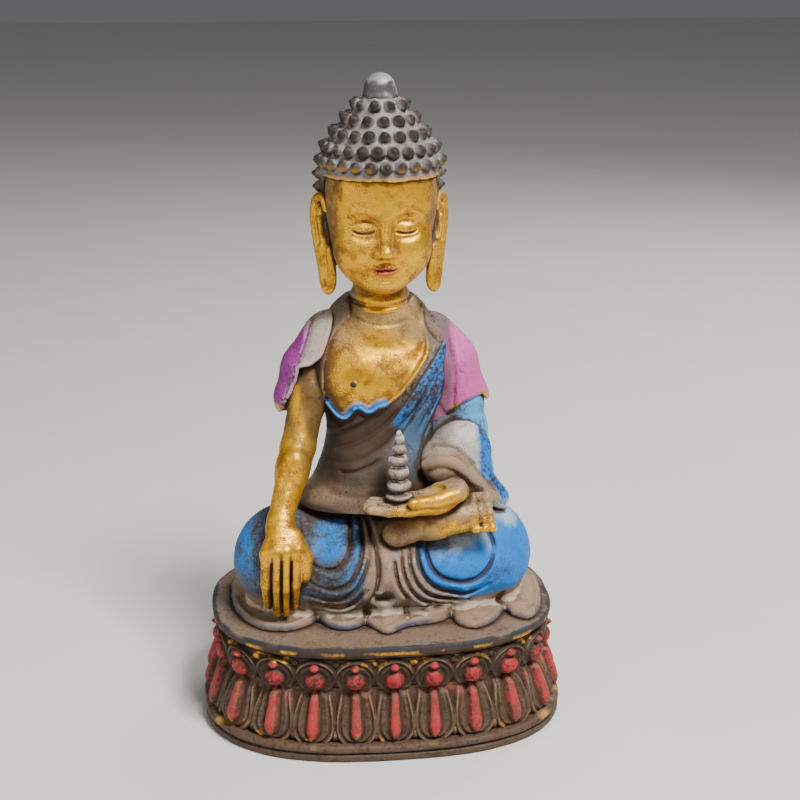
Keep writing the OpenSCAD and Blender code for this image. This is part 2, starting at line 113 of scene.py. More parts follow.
def smooth_path(points, per=7):
    """Catmull-Rom points through a few given ones."""
    p = np.asarray(points, float)
    if len(p) < 3:
        return np.linspace(p[0], p[-1], per + 1)
    ends = np.vstack([2 * p[0] - p[1], p, 2 * p[-1] - p[-2]])
    out = []
    for i in range(1, len(ends) - 2):
        a, b, c, d = ends[i - 1:i + 3]
        for t in np.arange(per) / per:
            out.append(0.5 * (2 * b + (c - a) * t + (2 * a - 5 * b + 4 * c - d) * t * t
                              + (3 * b - a - 3 * c + d) * t ** 3))
    return np.array(out + [p[-1]])


def lattice(seed):
    return np.random.default_rng(seed).uniform(-1, 1, (32, 32, 32)).astype(np.float32)


LATTICES = [lattice(s) for s in (3, 11, 29)]


def noise(x, y, z, size, octaves=2, seed=0):
    """Smooth repeatable noise of about -1 to 1, with features of the given size in mm."""
    total, amp = 0.0, 1.0
    for o in range(octaves):
        lat = LATTICES[(seed + o) % 3]
        q = [np.asarray(v) / size * 2 ** o + 7.3 * seed for v in (x, y, z)]
        i = [np.floor(v).astype(int) for v in q]
        f = [v - k for v, k in zip(q, i)]
        f = [v * v * (3 - 2 * v) for v in f]
        acc = 0.0
        for dx in (0, 1):
            for dy in (0, 1):
                for dz in (0, 1):
                    w = (f[0] if dx else 1 - f[0]) * (f[1] if dy else 1 - f[1]) * (f[2] if dz else 1 - f[2])
                    acc = acc + w * lat[(i[0] + dx) % 32, (i[1] + dy) % 32, (i[2] + dz) % 32]
        total = total + amp * acc
        amp *= 0.5
    return total


def path_distance(path, u, v):
    """Distance to a flat path, which side (left of its direction is positive), and share of its length."""
    best = np.full(np.broadcast(u, v).shape, 1e9)
    side = np.zeros_like(best)
    along = np.zeros_like(best)
    seg = path[1:] - path[:-1]
    length = np.linalg.norm(seg, axis=1)
    walked = np.concatenate([[0], np.cumsum(length)])
    for k in range(len(seg)):
        du, dv = u - path[k, 0], v - path[k, 1]
        t = np.clip((du * seg[k, 0] + dv * seg[k, 1]) / max(length[k] ** 2, 1e-9), 0, 1)
        eu, ev = du - t * seg[k, 0], dv - t * seg[k, 1]
        d = eu * eu + ev * ev
        near = d < best
        best = np.where(near, d, best)
        side = np.where(near, np.sign(seg[k, 0] * dv - seg[k, 1] * du), side)
        along = np.where(near, (walked[k] + t * length[k]) / walked[-1], along)
    return np.sqrt(best), side, along


def inside(points, u, v, closed_smooth=True):
    """Signed distance to a closed flat outline, positive inside."""
    p = np.asarray(points, float)
    if closed_smooth:
        p = smooth_path(np.vstack([p[-1], p, p[0], p[1]]), 5)[5:-5]
    loop = np.vstack([p, p[:1]])
    d, _, _ = path_distance(loop, u, v)
    odd = np.zeros(np.broadcast(u, v).shape, bool)
    for a, b in zip(loop[:-1], loop[1:]):
        crosses = (a[1] > v) != (b[1] > v)
        at = (b[0] - a[0]) * (v - a[1]) / (b[1] - a[1] + 1e-12) + a[0]
        odd ^= crosses & (u < at)
    return np.where(odd, d, -d)


# ---- Clay: shapes blended on a grid of distances, then turned into a mesh ----


def spin(angles):
    """Rotation matrix from degrees about X, Y and Z."""
    out = Matrix.Identity(3)
    for a, axis in zip(angles, "XYZ"):
        out = Matrix.Rotation(math.radians(a), 3, axis) @ out
    return np.array(out)


class Shape:
    def __init__(self, lo, hi, dist):
        self.lo, self.hi, self.dist = np.array(lo, float), np.array(hi, float), dist


def egg(p, radii, turn=(0, 0, 0)):
    p = np.array(p, float)
    r = np.array([radii] * 3 if np.isscalar(radii) else radii, float)
    m = spin(turn).T
    reach = np.abs(m.T) @ r

    def dist(x, y, z):
        q = [m[i, 0] * (x - p[0]) + m[i, 1] * (y - p[1]) + m[i, 2] * (z - p[2]) for i in range(3)]
        k0 = np.sqrt(sum((q[i] / r[i]) ** 2 for i in range(3)))
        k1 = np.sqrt(sum((q[i] / r[i] ** 2) ** 2 for i in range(3)))
        return k0 * (k0 - 1) / np.maximum(k1, 1e-6)
    return Shape(p - reach, p + reach, dist)


def bone(p, q, rp, rq, flat=None):
    """Round bar from p to q. flat = (axis, share) squeezes it along one axis."""
    p, q = np.array(p, float), np.array(q, float)
    big = max(rp, rq)
    scale = np.ones(3)
    if flat:
        scale["xyz".index(flat[0])] = 1 / flat[1]
    mid = (p + q) / 2

    def dist(x, y, z):
        c = [mid[i] + (v - mid[i]) * scale[i] for i, v in enumerate((x, y, z))]
        a, b = mid + (p - mid) * scale, mid + (q - mid) * scale
        ab = b - a
        t = np.clip(sum((c[i] - a[i]) * ab[i] for i in range(3)) / max(ab @ ab, 1e-9), 0, 1)
        d = np.sqrt(sum((c[i] - a[i] - t * ab[i]) ** 2 for i in range(3)))
        return (d - (rp + (rq - rp) * t)) / scale.max()
    return Shape(np.minimum(p, q) - big, np.maximum(p, q) + big, dist)


def loft(sections, power=2.2):
    """A standing body: sections of (z, half width, half depth, middle x, middle y), smoothed in z."""
    s = smooth_path(sections, 6)
    wide, deep = s[:, 1].max(), s[:, 2].max()

    def dist(x, y, z):
        a, b, cx, cy = (np.interp(z, s[:, 0], s[:, i]) for i in (1, 2, 3, 4))
        u, v = x - cx, y - cy
        f = (np.abs(u / a) ** power + np.abs(v / b) ** power) ** (1 / power)
        r = np.sqrt(u * u + v * v)
        d = r * (1 - 1 / np.maximum(f, 1e-3))
        d = np.where(f < 0.2, -0.6 * np.minimum(a, b) + 0 * d, d)
        out = np.maximum(s[0, 0] - z, z - s[-1, 0]) + 0 * d
        return np.maximum(d, out)
    cx, cy = s[:, 3], s[:, 4]
    return Shape((cx.min() - wide, cy.min() - deep, s[0, 0]), (cx.max() + wide, cy.max() + deep, s[-1, 0]),
                 dist)


class Clay:
    def __init__(self, lo, hi, step):
        self.lo, self.step = np.array(lo, float), step
        count = np.ceil((np.array(hi) - self.lo) / step).astype(int) + 1
        self.axes = [self.lo[i] + step * np.arange(count[i]) for i in range(3)]
        self.d = np.full(count, FAR, np.float32)
        self.lines = []

    def window(self, lo, hi, margin):
        cut = []
        for i in range(3):
            a = np.searchsorted(self.axes[i], lo[i] - margin)
            b = np.searchsorted(self.axes[i], hi[i] + margin)
            cut.append(slice(max(a - 1, 0), max(b + 1, 1)))
        x, y, z = (self.axes[i][cut[i]] for i in range(3))
        return tuple(cut), x[:, None, None], y[None, :, None], z[None, None, :]

    def add(self, shape, blend=0.0):
        w, x, y, z = self.window(shape.lo, shape.hi, 3.5 + blend)
        a, b = self.d[w], shape.dist(x, y, z)
        out = np.minimum(a, b)
        if blend:
            h = np.maximum(blend - np.abs(a - b), 0) / blend
            out = out - h * h * blend / 4
        self.d[w] = out
        return self

    def cut(self, shape, blend=0.0):
        w, x, y, z = self.window(shape.lo, shape.hi, 1.0 + blend)
        a, b = self.d[w], -shape.dist(x, y, z)
        out = np.maximum(a, b)
        if blend:
            h = np.maximum(blend - np.abs(a - b), 0) / blend
            out = out + h * h * blend / 4
        self.d[w] = out
        return self

    def keep(self, dist, blend=0.0):
        """Keeps the clay where dist(x, y, z) is negative."""
        x, y, z = self.axes[0][:, None, None], self.axes[1][None, :, None], self.axes[2][None, None, :]
        b = dist(x, y, z) + 0 * self.d
        out = np.maximum(self.d, b)
        if blend:
            h = np.maximum(blend - np.abs(self.d - b), 0) / blend
            out = out + h * h * blend / 4
        self.d = out.astype(np.float32)
        return self

    def swell(self, amount, lo=(-999,) * 3, hi=(999,) * 3):
        """Moves the surface out by amount(x, y, z)."""
        w, x, y, z = self.window(lo, hi, 0)
        self.d[w] = self.d[w] - amount(x, y, z)
        return self

    def rough(self, size, depth, seed=0):
        return self.swell(lambda x, y, z: depth * noise(x, y, z, size, 2, seed))

    def _flat(self, path, plane, lo, hi, reach):
        """Window and flat coordinates round a path drawn in the xz, yz or xy plane."""
        i, j = ("xyz".index(c) for c in plane)
        wlo, whi = np.array(lo, float), np.array(hi, float)
        wlo[i], wlo[j] = path.min(0) - reach
        whi[i], whi[j] = path.max(0) + reach
        w, x, y, z = self.window(wlo, whi, 0)
        c = (x, y, z)
        return w, c[i], c[j]

    def crease(self, points, depth, width, plane="xz", lo=(-99, -99, -9), hi=(99, 0, 999), fade=0.12):
        """A groove (depth > 0) or ridge (depth < 0) along a path seen along the third axis."""
        path = smooth_path(points)
        w, u, v = self._flat(path, plane, lo, hi, 3 * width)
        d, _, t = path_distance(path, u, v)
        ends = np.clip(np.minimum(t, 1 - t) / fade, 0, 1) if fade else 1
        self.d[w] = self.d[w] + depth * ends * np.exp(-(d / width) ** 2)
        self.lines.append((path, ["xyz".index(c) for c in plane], lo, hi, depth, width))
        return self

    def drawn(self, p):
        """How deep in a drawn crease (above 0) or high on a ridge (below 0) each point is."""
        total = np.zeros(len(p))
        for path, (i, j), lo, hi, depth, width in self.lines:
            near = np.all((p > lo) & (p < hi), axis=1)
            for k, c in ((i, 0), (j, 1)):
                near &= (p[:, k] > path[:, c].min() - 2 * width) & (p[:, k] < path[:, c].max() + 2 * width)
            d, _, _ = path_distance(path, p[near, i], p[near, j])
            total[near] += depth * np.exp(-(d / (0.85 * width)) ** 2)
        return total

    def lip(self, points, height, width, run, plane="xz", lo=(-99, -99, -9), hi=(99, 0, 999), fade=0.1):
        """The edge of an overlapping layer: a step along the path, on its left, that fades over run."""
        path = smooth_path(points)
        w, u, v = self._flat(path, plane, lo, hi, 3 * run)
        d, side, t = path_distance(path, u, v)
        s = d * side
        ends = np.clip(np.minimum(t, 1 - t) / fade, 0, 1) if fade else 1
        self.d[w] = self.d[w] - height * ends * ramp(s, -width / 2,
                                                     width / 2) * np.exp(-np.maximum(s, 0) / run)
        return self

    def sample(self, p):
        """Distances at points, FAR outside the block."""
        q = (p - self.lo) / self.step
        n = np.array(self.d.shape)
        ok = np.all((q >= 0) & (q < n - 1), axis=1)
        out = np.full(len(p), FAR)
        q = q[ok]
        i = np.floor(q).astype(int)
        f = q - i
        acc = 0.0
        for c in ((0, 0, 0), (0, 0, 1), (0, 1, 0), (0, 1, 1), (1, 0, 0), (1, 0, 1), (1, 1, 0), (1, 1, 1)):
            w = np.prod([f[:, k] if c[k] else 1 - f[:, k] for k in range(3)], axis=0)
            acc = acc + w * self.d[i[:, 0] + c[0], i[:, 1] + c[1], i[:, 2] + c[2]]
        out[ok] = acc
        return out

    def polygons(self):
        grid = vdb.FloatGrid(FAR)
        edge = self.d.copy()
        for k in range(3):                       # closes the clay at the block's walls
            edge[(slice(None),) * k + (0,)] = FAR
            edge[(slice(None),) * k + (-1,)] = FAR
        grid.copyFromArray(edge)
        points, tris, quads = grid.convertToPolygons(isovalue=0.0, adaptivity=0.0)
        return points * self.step + self.lo, tris, quads


clays = []                                       # every block of clay, for finding recesses between pieces


def new_clay(lo, hi, step):
    clay = Clay(lo, hi, step)
    clays.append(clay)
    return clay


# ---- Meshes ----


def build_mesh(name, points, faces):
    mesh = bpy.data.meshes.new("cast_" + name)
    mesh.from_pydata((np.asarray(points) * MM).tolist(), [], [list(map(int, f)) for f in faces])
    mesh.validate()
    obj = bpy.data.objects.new("cast_" + name, mesh)
    bpy.context.scene.collection.objects.link(obj)
    mesh.shade_smooth()
    return obj


def drop_crumbs(points, faces):
    """Keeps the largest connected piece, so that no stray flake of clay is left."""
    group = np.arange(len(points))
    f4 = np.array([list(f) + [f[-1]] * (4 - len(f)) for f in faces])
    for _ in range(400):
        least = group[f4].min(1)
        new = group.copy()
        for k in range(4):
            np.minimum.at(new, f4[:, k], least)
        new = new[new]
        if np.array_equal(new, group):
            break
        group = new
    sizes = np.bincount(group, minlength=len(points))
    keep = sizes[group] > 0.04 * sizes.max()
    index = np.cumsum(keep) - 1
    return points[keep], [tuple(index[list(f)]) for f in faces if keep[f[0]]]


def clay_mesh(name, clay):
    points, tris, quads = clay.polygons()
    faces = [tuple(q) for q in quads] + [tuple(t) for t in tris]
    points, faces = drop_crumbs(points, faces)
    f = np.array([q[:3] for q in faces])
    a, b, c = points[f[:, 0]], points[f[:, 1]], points[f[:, 2]]
    if np.einsum("ij,ij->i", a, np.cross(b, c)).sum() < 0:
        faces = [q[::-1] for q in faces]
    return build_mesh(name, points, faces)


def vertex_arrays(obj):
    n = len(obj.data.vertices)
    p, v = np.zeros(n * 3, np.float32), np.zeros(n * 3, np.float32)
    obj.data.vertices.foreach_get("co", p)
    obj.data.vertices.foreach_get("normal", v)
    return p.reshape(-1, 3).astype(float) / MM, v.reshape(-1, 3).astype(float)


def put(obj, name, values):
    kind = "FLOAT_COLOR" if np.ndim(values) == 2 else "FLOAT"
    at = obj.data.attributes.new(name, kind, "POINT")
    if kind == "FLOAT_COLOR":
        values = np.hstack([values, np.ones((len(values), 1))])
        at.data.foreach_set("color", values.astype(np.float32).ravel())
    else:
        at.data.foreach_set("value", np.asarray(values, np.float32))


def shelter(p, n, reach):
    """How enclosed each point is: 0 in the open, 1 deep in a crease, looking reach mm out."""
    q = p + n * reach
    d = np.full(len(p), FAR)
    for clay in clays:
        d = np.minimum(d, clay.sample(q))
    return np.clip(1 - d / reach, 0, 1)


def sharpness(p, n, reach):
    """How exposed each point is: 1 on a sharp edge."""
    q = p - n * reach
    d = np.full(len(p), FAR)
    for clay in clays:
        d = np.minimum(d, clay.sample(q))
    return np.clip(1 + d / reach, 0, 1)


# ---- Materials ----


class Nodes:
    """A few helpers over a material's node tree."""

    def __init__(self, name):
        self.mat = bpy.data.materials.new(name)
        self.mat.use_nodes = True
        self.tree = self.mat.node_tree
        self.tree.nodes.clear()
        self.out = self.new("ShaderNodeOutputMaterial")
        self.shader = self.new("ShaderNodeBsdfPrincipled")
        self.join(self.shader.outputs[0], self.out.inputs[0])
        self.place = self.new("ShaderNodeTexCoord").outputs["Object"]

    def new(self, kind):
        return self.tree.nodes.new(kind)

    def join(self, a, b):
        self.tree.links.new(a, b)

    def feed(self, value, socket):
        if hasattr(value, "links"):
            self.join(value, socket)
        else:
            socket.default_value = value

    def attribute(self, name, color=False):
        node = self.new("ShaderNodeAttribute")
        node.attribute_name = name
        return node.outputs["Color" if color else "Fac"]

    def noise(self, size_mm, detail=3.0, rough=0.55, stretch=None):
        node = self.new("ShaderNodeTexNoise")
        node.inputs["Scale"].default_value = 1 / (size_mm * MM)
        node.inputs["Detail"].default_value = detail
        node.inputs["Roughness"].default_value = rough
        source = self.place
        if stretch:
            mapping = self.new("ShaderNodeMapping")
            mapping.inputs["Scale"].default_value = stretch
            self.join(source, mapping.inputs["Vector"])
            source = mapping.outputs[0]
        self.join(source, node.inputs["Vector"])
        return node.outputs["Fac"]

    def math(self, kind, a, b=0.0, clamp=False):
        node = self.new("ShaderNodeMath")
        node.operation = kind
        node.use_clamp = clamp
        self.feed(a, node.inputs[0])
        self.feed(b, node.inputs[1])
        return node.outputs[0]

    def step(self, value, lo, hi, to_lo=0.0, to_hi=1.0):
        node = self.new("ShaderNodeMapRange")
        node.interpolation_type = "SMOOTHSTEP"
        self.feed(value, node.inputs["Value"])
        for key, v in zip(("From Min", "From Max", "To Min", "To Max"), (lo, hi, to_lo, to_hi)):
            node.inputs[key].default_value = v
        return node.outputs[0]

    def blend(self, factor, a, b, kind="MIX"):
        node = self.new("ShaderNodeMix")
        node.data_type = "RGBA"
        node.blend_type = kind
        self.feed(factor, node.inputs["Factor"])
        for value, socket in ((a, node.inputs["A"]), (b, node.inputs["B"])):
            sockets = [s for s in node.inputs if s.name == socket.name and s.type == "RGBA"]
            self.feed((*value, 1) if isinstance(value, tuple) else value, sockets[0])
        return [s for s in node.outputs if s.type == "RGBA"][0]

    def bump(self, height, strength, distance_mm, after=None):
        node = self.new("ShaderNodeBump")
        node.inputs["Strength"].default_value = strength
        node.inputs["Distance"].default_value = distance_mm * MM
        self.join(height, node.inputs["Height"])
        if after:
            self.join(after, node.inputs["Normal"])
        return node.outputs[0]


def cast_paint(name):
    """Cold paint and gold leaf on cast brass: the tint, leaf, dirt with painted shade, and wear are on the
    mesh's points.
    """
    n = Nodes(name)
    tint, under = n.attribute("tint", True), n.attribute("under", True)
    leaf, dirt, wear, rub = (n.attribute(k) for k in ("leaf", "dirt", "wear", "rub"))
    speck, grit, cloud = n.noise(0.42, 4, 0.7), n.noise(1.3, 4, 0.62), n.noise(9, 3)
    fleck = n.noise(0.8, 5, 0.75)
    # paint rubbed through to the layer below it
    through = n.math("ADD", n.math("MULTIPLY", grit, 0.6), n.math("MULTIPLY", fleck, 0.4))
    through = n.math("ADD", through, n.math("MULTIPLY", cloud, 0.35))
    rubbed = n.step(n.math("ADD", through, rub), 0.93, 1.07)
    colour = n.blend(rubbed, tint, under)
    # soft change of tone over the piece
    shade = n.step(cloud, 0.3, 0.7, 0.86, 1.12)
    tone = n.new("ShaderNodeHueSaturation")
    n.join(colour, tone.inputs["Color"])
    n.join(shade, tone.inputs["Value"])
    colour = tone.outputs[0]
    # mottled tone on the leaf, and dark pepper that thickens in the recesses and in worn patches
    mottle = n.step(n.math("ADD", n.noise(4.5, 4, 0.65), n.math("MULTIPLY", dirt, 0.3)), 0.50, 0.68)
    brown = n.blend(1.0, colour, (0.46, 0.28, 0.12), "MULTIPLY")
    colour = n.blend(n.math("MULTIPLY", mottle, n.step(leaf, 0, 1, 0.25, 0.75)), colour, brown)
    pepper = n.math("ADD", n.noise(0.38, 3, 0.7), n.math("MULTIPLY", n.math("SUBTRACT", cloud, 0.5), 0.55))
    pepper = n.math("ADD", pepper, n.math("MULTIPLY", dirt, 0.22))
    pepper = n.math("MULTIPLY", n.step(pepper, 0.548, 0.605), n.step(leaf, 0, 1, 0.55, 0.85))
    # dark patina where the dirt and painted shade channel and the noise run high: dirt, with painted shade in
    # the hollows
    dust_and_shade = n.math("ADD", n.math("MULTIPLY", dirt, 0.60), n.math("MULTIPLY", speck, 0.55))
    dust_and_shade = n.math("ADD", dust_and_shade, n.math("MULTIPLY", grit, 0.32))
    dust_and_shade = n.math("ADD", dust_and_shade, n.math("MULTIPLY", cloud, 0.26))
    dark = n.math("MAXIMUM", n.step(dust_and_shade, 0.70, 0.98), pepper)
    colour = n.blend(n.math("MULTIPLY", dark, 0.84), colour, PATINA)
    # pale rubbed edges
    edge = n.step(n.math("ADD", wear, n.math("MULTIPLY", grit, 0.5)), 0.62, 0.95)
    colour = n.blend(n.math("MULTIPLY", edge, 0.55), colour, n.attribute("bright", True))
    n.join(colour, n.shader.inputs["Base Color"])
    shine = n.math("MULTIPLY", leaf, n.step(dark, 0.0, 1.0, 0.82, 0.1))
    n.join(shine, n.shader.inputs["Metallic"])
    base_rough = n.step(leaf, 0, 1, 0.55, 0.38)
    rough = n.math("ADD", base_rough, n.math("MULTIPLY", dark, 0.25))
    rough = n.math("ADD", rough, n.step(grit, 0.2, 0.8, -0.08, 0.1), clamp=True)
    n.join(rough, n.shader.inputs["Roughness"])
    pits = n.bump(n.math("SUBTRACT", speck, n.math("MULTIPLY", dark, 0.5)), 0.35, 0.16)
    n.join(n.bump(grit, 0.35, 0.3, pits), n.shader.inputs["Normal"])
    n.shader.inputs["Specular IOR Level"].default_value = 0.3
    return n.mat


def machined(name, colour, metallic, size=0.5):
    """Plain hardware and sheet, with drawn streaks and stains."""
    n = Nodes(name)
    streak, stain, fine = n.noise(size, 3, 0.6, (1, 1, 0.08)), n.noise(7, 4), n.noise(0.25, 3)
    dull = n.step(n.math("ADD", stain, n.math("MULTIPLY", streak, 0.4)), 0.62, 0.85)
    dark = tuple(0.35 * c for c in colour)
    n.join(n.blend(n.math("MULTIPLY", dull, 0.8), colour, dark), n.shader.inputs["Base Color"])
    n.shader.inputs["Metallic"].default_value = metallic
    n.join(n.step(stain, 0.3, 0.7, 0.3, 0.55), n.shader.inputs["Roughness"])
    n.join(n.bump(streak, 0.2, 0.1, n.bump(fine, 0.2, 0.05)), n.shader.inputs["Normal"])
    return n.mat


PAINT = cast_paint("cast_paint")


to_paint = []                                    # pieces that wait for their paint


def finish_piece(obj, nodes, painter, reach=(1.1, 3.0), clay=True):
    """Ties the piece to the frame and keeps its painter for later, when all recesses are known."""
    obj.data.materials.append(PAINT)
    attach(obj, "root")
    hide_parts(*nodes)
    to_paint.append((obj, clays[-1] if clay else None, painter, reach))


def paint_piece(obj, clay, painter, reach):
    p, n = vertex_arrays(obj)
    drawn = clay.drawn(p) if clay else np.zeros(len(p))
    close, wide = shelter(p, n, reach[0]), shelter(p, n, reach[1])
    # darker in enclosed hollows and drawn creases: dirt, with painted shade where the clay encloses them
    dirt = np.clip(0.7 * close + 0.6 * ramp(wide, 0.25, 0.95) + 0.42 * np.maximum(drawn, 0), 0, 1)
    exposed = ramp(sharpness(p, n, 0.9), 0.12, 0.55) if clay else 0.15
    wear = np.clip(exposed - 0.4 * close - 0.35 * np.minimum(drawn, 0), 0, 1)
    look = {"tint": np.tile(CREAM, (len(p), 1)), "under": np.tile(TAUPE_DARK, (len(p), 1)),
            "bright": np.tile(CREAM, (len(p), 1)), "leaf": np.zeros(len(p)), "rub": np.full(len(p), 0.2),
            "dirt": dirt, "wear": wear}
    painter(look, p, n)
    for key, values in look.items():
        put(obj, key, values)


def coat(look, where, **values):
    """Lays one coat over the points, by a share of 0 to 1 at each."""
    for key, value in values.items():
        if look[key].ndim == 2:
            look[key] = look[key] * (1 - where[:, None]) + np.asarray(value, float) * where[:, None]
        else:
            look[key] = look[key] * (1 - where) + value * where


def undercoat(look, **values):
    """The coat that covers a whole piece."""
    coat(look, np.ones(len(look["leaf"])), **values)


GILT = {"tint": GOLD, "under": GOLD_DARK, "bright": GOLD_PALE, "leaf": 1.0, "rub": 0.10}


# ---- Lotus base: mouldings and reliefs swept round the outline ----

STEPS = 1100      # points round each ring
MOULDING_ROWS, DROOPING_ROWS, BUDDING_ROWS = 60, 110, 90


def outline(t, grow):
    a, b = BASE_A + grow, BASE_B + grow
    c, s = np.cos(t), np.sin(t)
    return np.stack([a * np.sign(c) * np.abs(c) ** (2 / CORNER),
                     b * np.sign(s) * np.abs(s) ** (2 / CORNER)], -1)


def even_angles(count, grow):
    """Angles whose points are evenly spaced along the outline, from the middle of the front."""
    t = np.linspace(-math.pi / 2, 1.5 * math.pi, 6001)
    p = outline(t, grow)
    run = np.concatenate([[0], np.cumsum(np.linalg.norm(p[1:] - p[:-1], axis=1))])
    return np.interp(np.arange(count) / count * run[-1], run, t), run[-1]


def outline_var(t, grow):
    """Outline with its own growth at each point, along the outline's normal."""
    p = outline(t, -DRUM_INSET)
    q = outline(t + 1e-3, -DRUM_INSET) - outline(t - 1e-3, -DRUM_INSET)
    q /= np.linalg.norm(q, axis=1)[:, None]
    return p + np.stack([q[:, 1], -q[:, 0]], -1) * (np.asarray(grow) + DRUM_INSET)[:, None]


# Profiles are (growth past the outline, height) points from the bottom up

PITCH = even_angles(STEPS, -DRUM_INSET)[1] / PETALS


def petal_share():
    """Distance from the middle of the nearest petal, in mm, and the petal's number, round the ring."""
    k = np.arange(STEPS) / STEPS * PETALS
    number = np.floor(k + 0.5) % PETALS
    return ((k + 0.5) % 1 - 0.5) * PITCH, number.astype(int)


def relief_band(profile, rows, relief, back, wobble=0.12):
    """A ring whose outer face follows a profile pushed out by relief(s, q, number); back closes it behind."""
    t, _ = even_angles(STEPS, -DRUM_INSET)
    path = smooth_path(profile, 12)
    run = np.concatenate([[0], np.cumsum(np.linalg.norm(np.diff(path, axis=0), axis=1))])
    q = np.linspace(0, 1, rows)
    g, z = (np.interp(q * run[-1], run, path[:, i]) for i in (0, 1))
    dg, dz = np.gradient(g), np.gradient(z)
    size = np.hypot(dg, dz)
    s, number = petal_share()
    h = relief(s[None, :], q[:, None], number[None, :])
    flat = outline(t, -DRUM_INSET)
    h = h + wobble * noise(flat[None, :, 0], flat[None, :, 1], z[:, None] + 0 * flat[None, :, 0], 4.5, 3, 1)
    grow = g[:, None] + h * (dz / size)[:, None]
    high_z = z[:, None] - h * (dg / size)[:, None]
    rings = [np.column_stack([outline_var(t, grow[r]), high_z[r]]) for r in range(rows)]
    for bg, bz in back:
        rings.append(np.column_stack([outline_var(t, np.full(STEPS, bg)), np.full(STEPS, bz)]))
    soft = h.copy()
    for _ in range(5):
        soft = (soft + np.roll(soft, 3, 1) + np.roll(soft, -3, 1)
                + np.vstack([soft[:1], soft[:-1]]) + np.vstack([soft[1:], soft[-1:]])) / 5
    extra = np.zeros((len(back), STEPS))
    return rings, np.vstack([h - soft, extra])


def relief_places(rows):
    """For each point of a relief ring: mm from its petal's middle, and its share of the height."""
    behind = 2
    q = np.concatenate([np.repeat(np.linspace(0, 1, rows), STEPS), np.ones(behind * STEPS)])
    return np.tile(petal_share()[0], rows + behind), q


def ring_mesh(name, rings):
    points = np.vstack(rings)
    n, m = len(rings[0]), len(rings)
    i = np.arange(n)
    faces = []
    for r in range(m):
        a, b = r * n, (r + 1) % m * n
        faces += np.column_stack([a + i, a + (i + 1) % n, b + (i + 1) % n, b + i]).tolist()
    f = np.array(faces)
    p, q, s = points[f[:, 0]], points[f[:, 1]], points[f[:, 2]]
    if np.einsum("ij,ij->i", p, np.cross(q, s)).sum() < 0:
        faces = [c[::-1] for c in faces]
    return build_mesh(name, points, faces)


def relief_look(local):
    """Dirt and painted shade in the hollows of a relief, and wear on its high edges."""
    return np.clip(-local.ravel() / 0.5, 0, 1) * 0.75, np.clip(local.ravel() / 0.45, 0, 1) * 0.55


def moulding(profile, back, wobble=0.16):
    """A ring with a plain profile, and no petals."""
    return relief_band(profile, MOULDING_ROWS, lambda s, q, k: 0 * s * q, back, wobble)[0]


def bump_at(f, width):
    return np.exp(-(f / width) ** 2)


# ---- Base pieces ----


def paint_base(local_dirt_and_shade, local_wear, extra=None):
    def paint(look, p, n):
        undercoat(look, tint=TAUPE, under=BASE_BROWN, bright=(0.36, 0.25, 0.14), rub=0.30)
        if local_dirt_and_shade is not None:
            look["dirt"] = np.clip(0.35 * look["dirt"] + local_dirt_and_shade, 0, 1)
            look["wear"] = local_wear
        if extra:
            extra(look, p, n)
    return paint


def make_plinth():
    top = FOOT_TOP
    profile = [(-0.5, 0.05), (0.05, 0.35), (0.1, 1.3), (0.0, 2.1), (-0.8, 2.45), (-0.9, 2.75), (0.0, 3.1),
               (0.4, 3.7),
               (0.35, 4.4), (-0.1, top - 0.45), (-1.2, top - 0.08), (-3.0, top), (-8.0, top)]
    back = [(-12.0, top), (-12.0, top - 1.2), (-3.0, top - 1.2), (-3.0, 0.05)]
    rings = moulding(profile, back)
    obj = ring_mesh("plinth", rings)

    def gilt_edge(look, p, n):
        edge = ramp(p[:, 2], 3.2, 4.4) * ramp(noise(*p.T, 9, 2, 2), -0.35, 0.5)
        coat(look, 0.75 * edge, bright=GOLD)
        look["wear"] = np.clip(look["wear"] + 0.5 * edge, 0, 1)
        coat(look, 0.5 * ramp(p[:, 2], 2.6, 0.4), tint=BASE_BROWN)
    finish_piece(obj, ["plinth"], paint_base(None, None, gilt_edge), clay=False)
    lugs(obj)


def lugs(obj):
    """The four screw bosses under the foot's corners, taken from the cover screws' places."""
    lo, hi = low("cover_screws"), high("cover_screws")
    z0, z1, r_out, r_in, n = 1.25, FOOT_TOP - 1.2, 3.0, 1.52, 32
    mesh = obj.data
    bm = bmesh.new()
    bm.from_mesh(mesh)
    span_x, span_y = (hi[0] - lo[0]) / 2 - 2.7, (hi[1] - lo[1]) / 2 - 2.7
    for cx in (-span_x, span_x):
        for cy in (-span_y, span_y):
            rows = []
            for r, z in ((r_in, z0), (r_out, z0), (r_out, z1), (r_in, z1)):
                rows.append([bm.verts.new(((cx + r * math.cos(TURN * k / n)) * MM,
                                           (cy + r * math.sin(TURN * k / n)) * MM,
                                           z * MM)) for k in range(n)])
            for a in range(4):
                for k in range(n):
                    bm.faces.new((rows[a][k], rows[a][(k + 1) % n], rows[(a + 1) % 4][(k + 1) % n],
                                  rows[(a + 1) % 4][k]))
    bmesh.ops.recalc_face_normals(bm, faces=bm.faces[-16 * n:])
    bm.to_mesh(mesh)
    bm.free()


def make_drum():
    profile = [(-9.0, FOOT_TOP + 0.02), (-9.0, 15), (-9.0, RIM_LOW), (-5.6, RIM_LOW + 0.1),
               (-5.5, PLATE_LOW)]
    back = [(-12.0, PLATE_LOW), (-12.0, FOOT_TOP + 0.02)]
    rings = moulding(profile, back, 0.0)
    obj = ring_mesh("lotus_drum", rings)
    finish_piece(obj, ["lotus_drum"], paint_base(None, None), clay=False)


def petal_wobble(number, seed):
    rng = np.random.default_rng(seed)
    return rng.uniform(-1, 1, PETALS)[number]


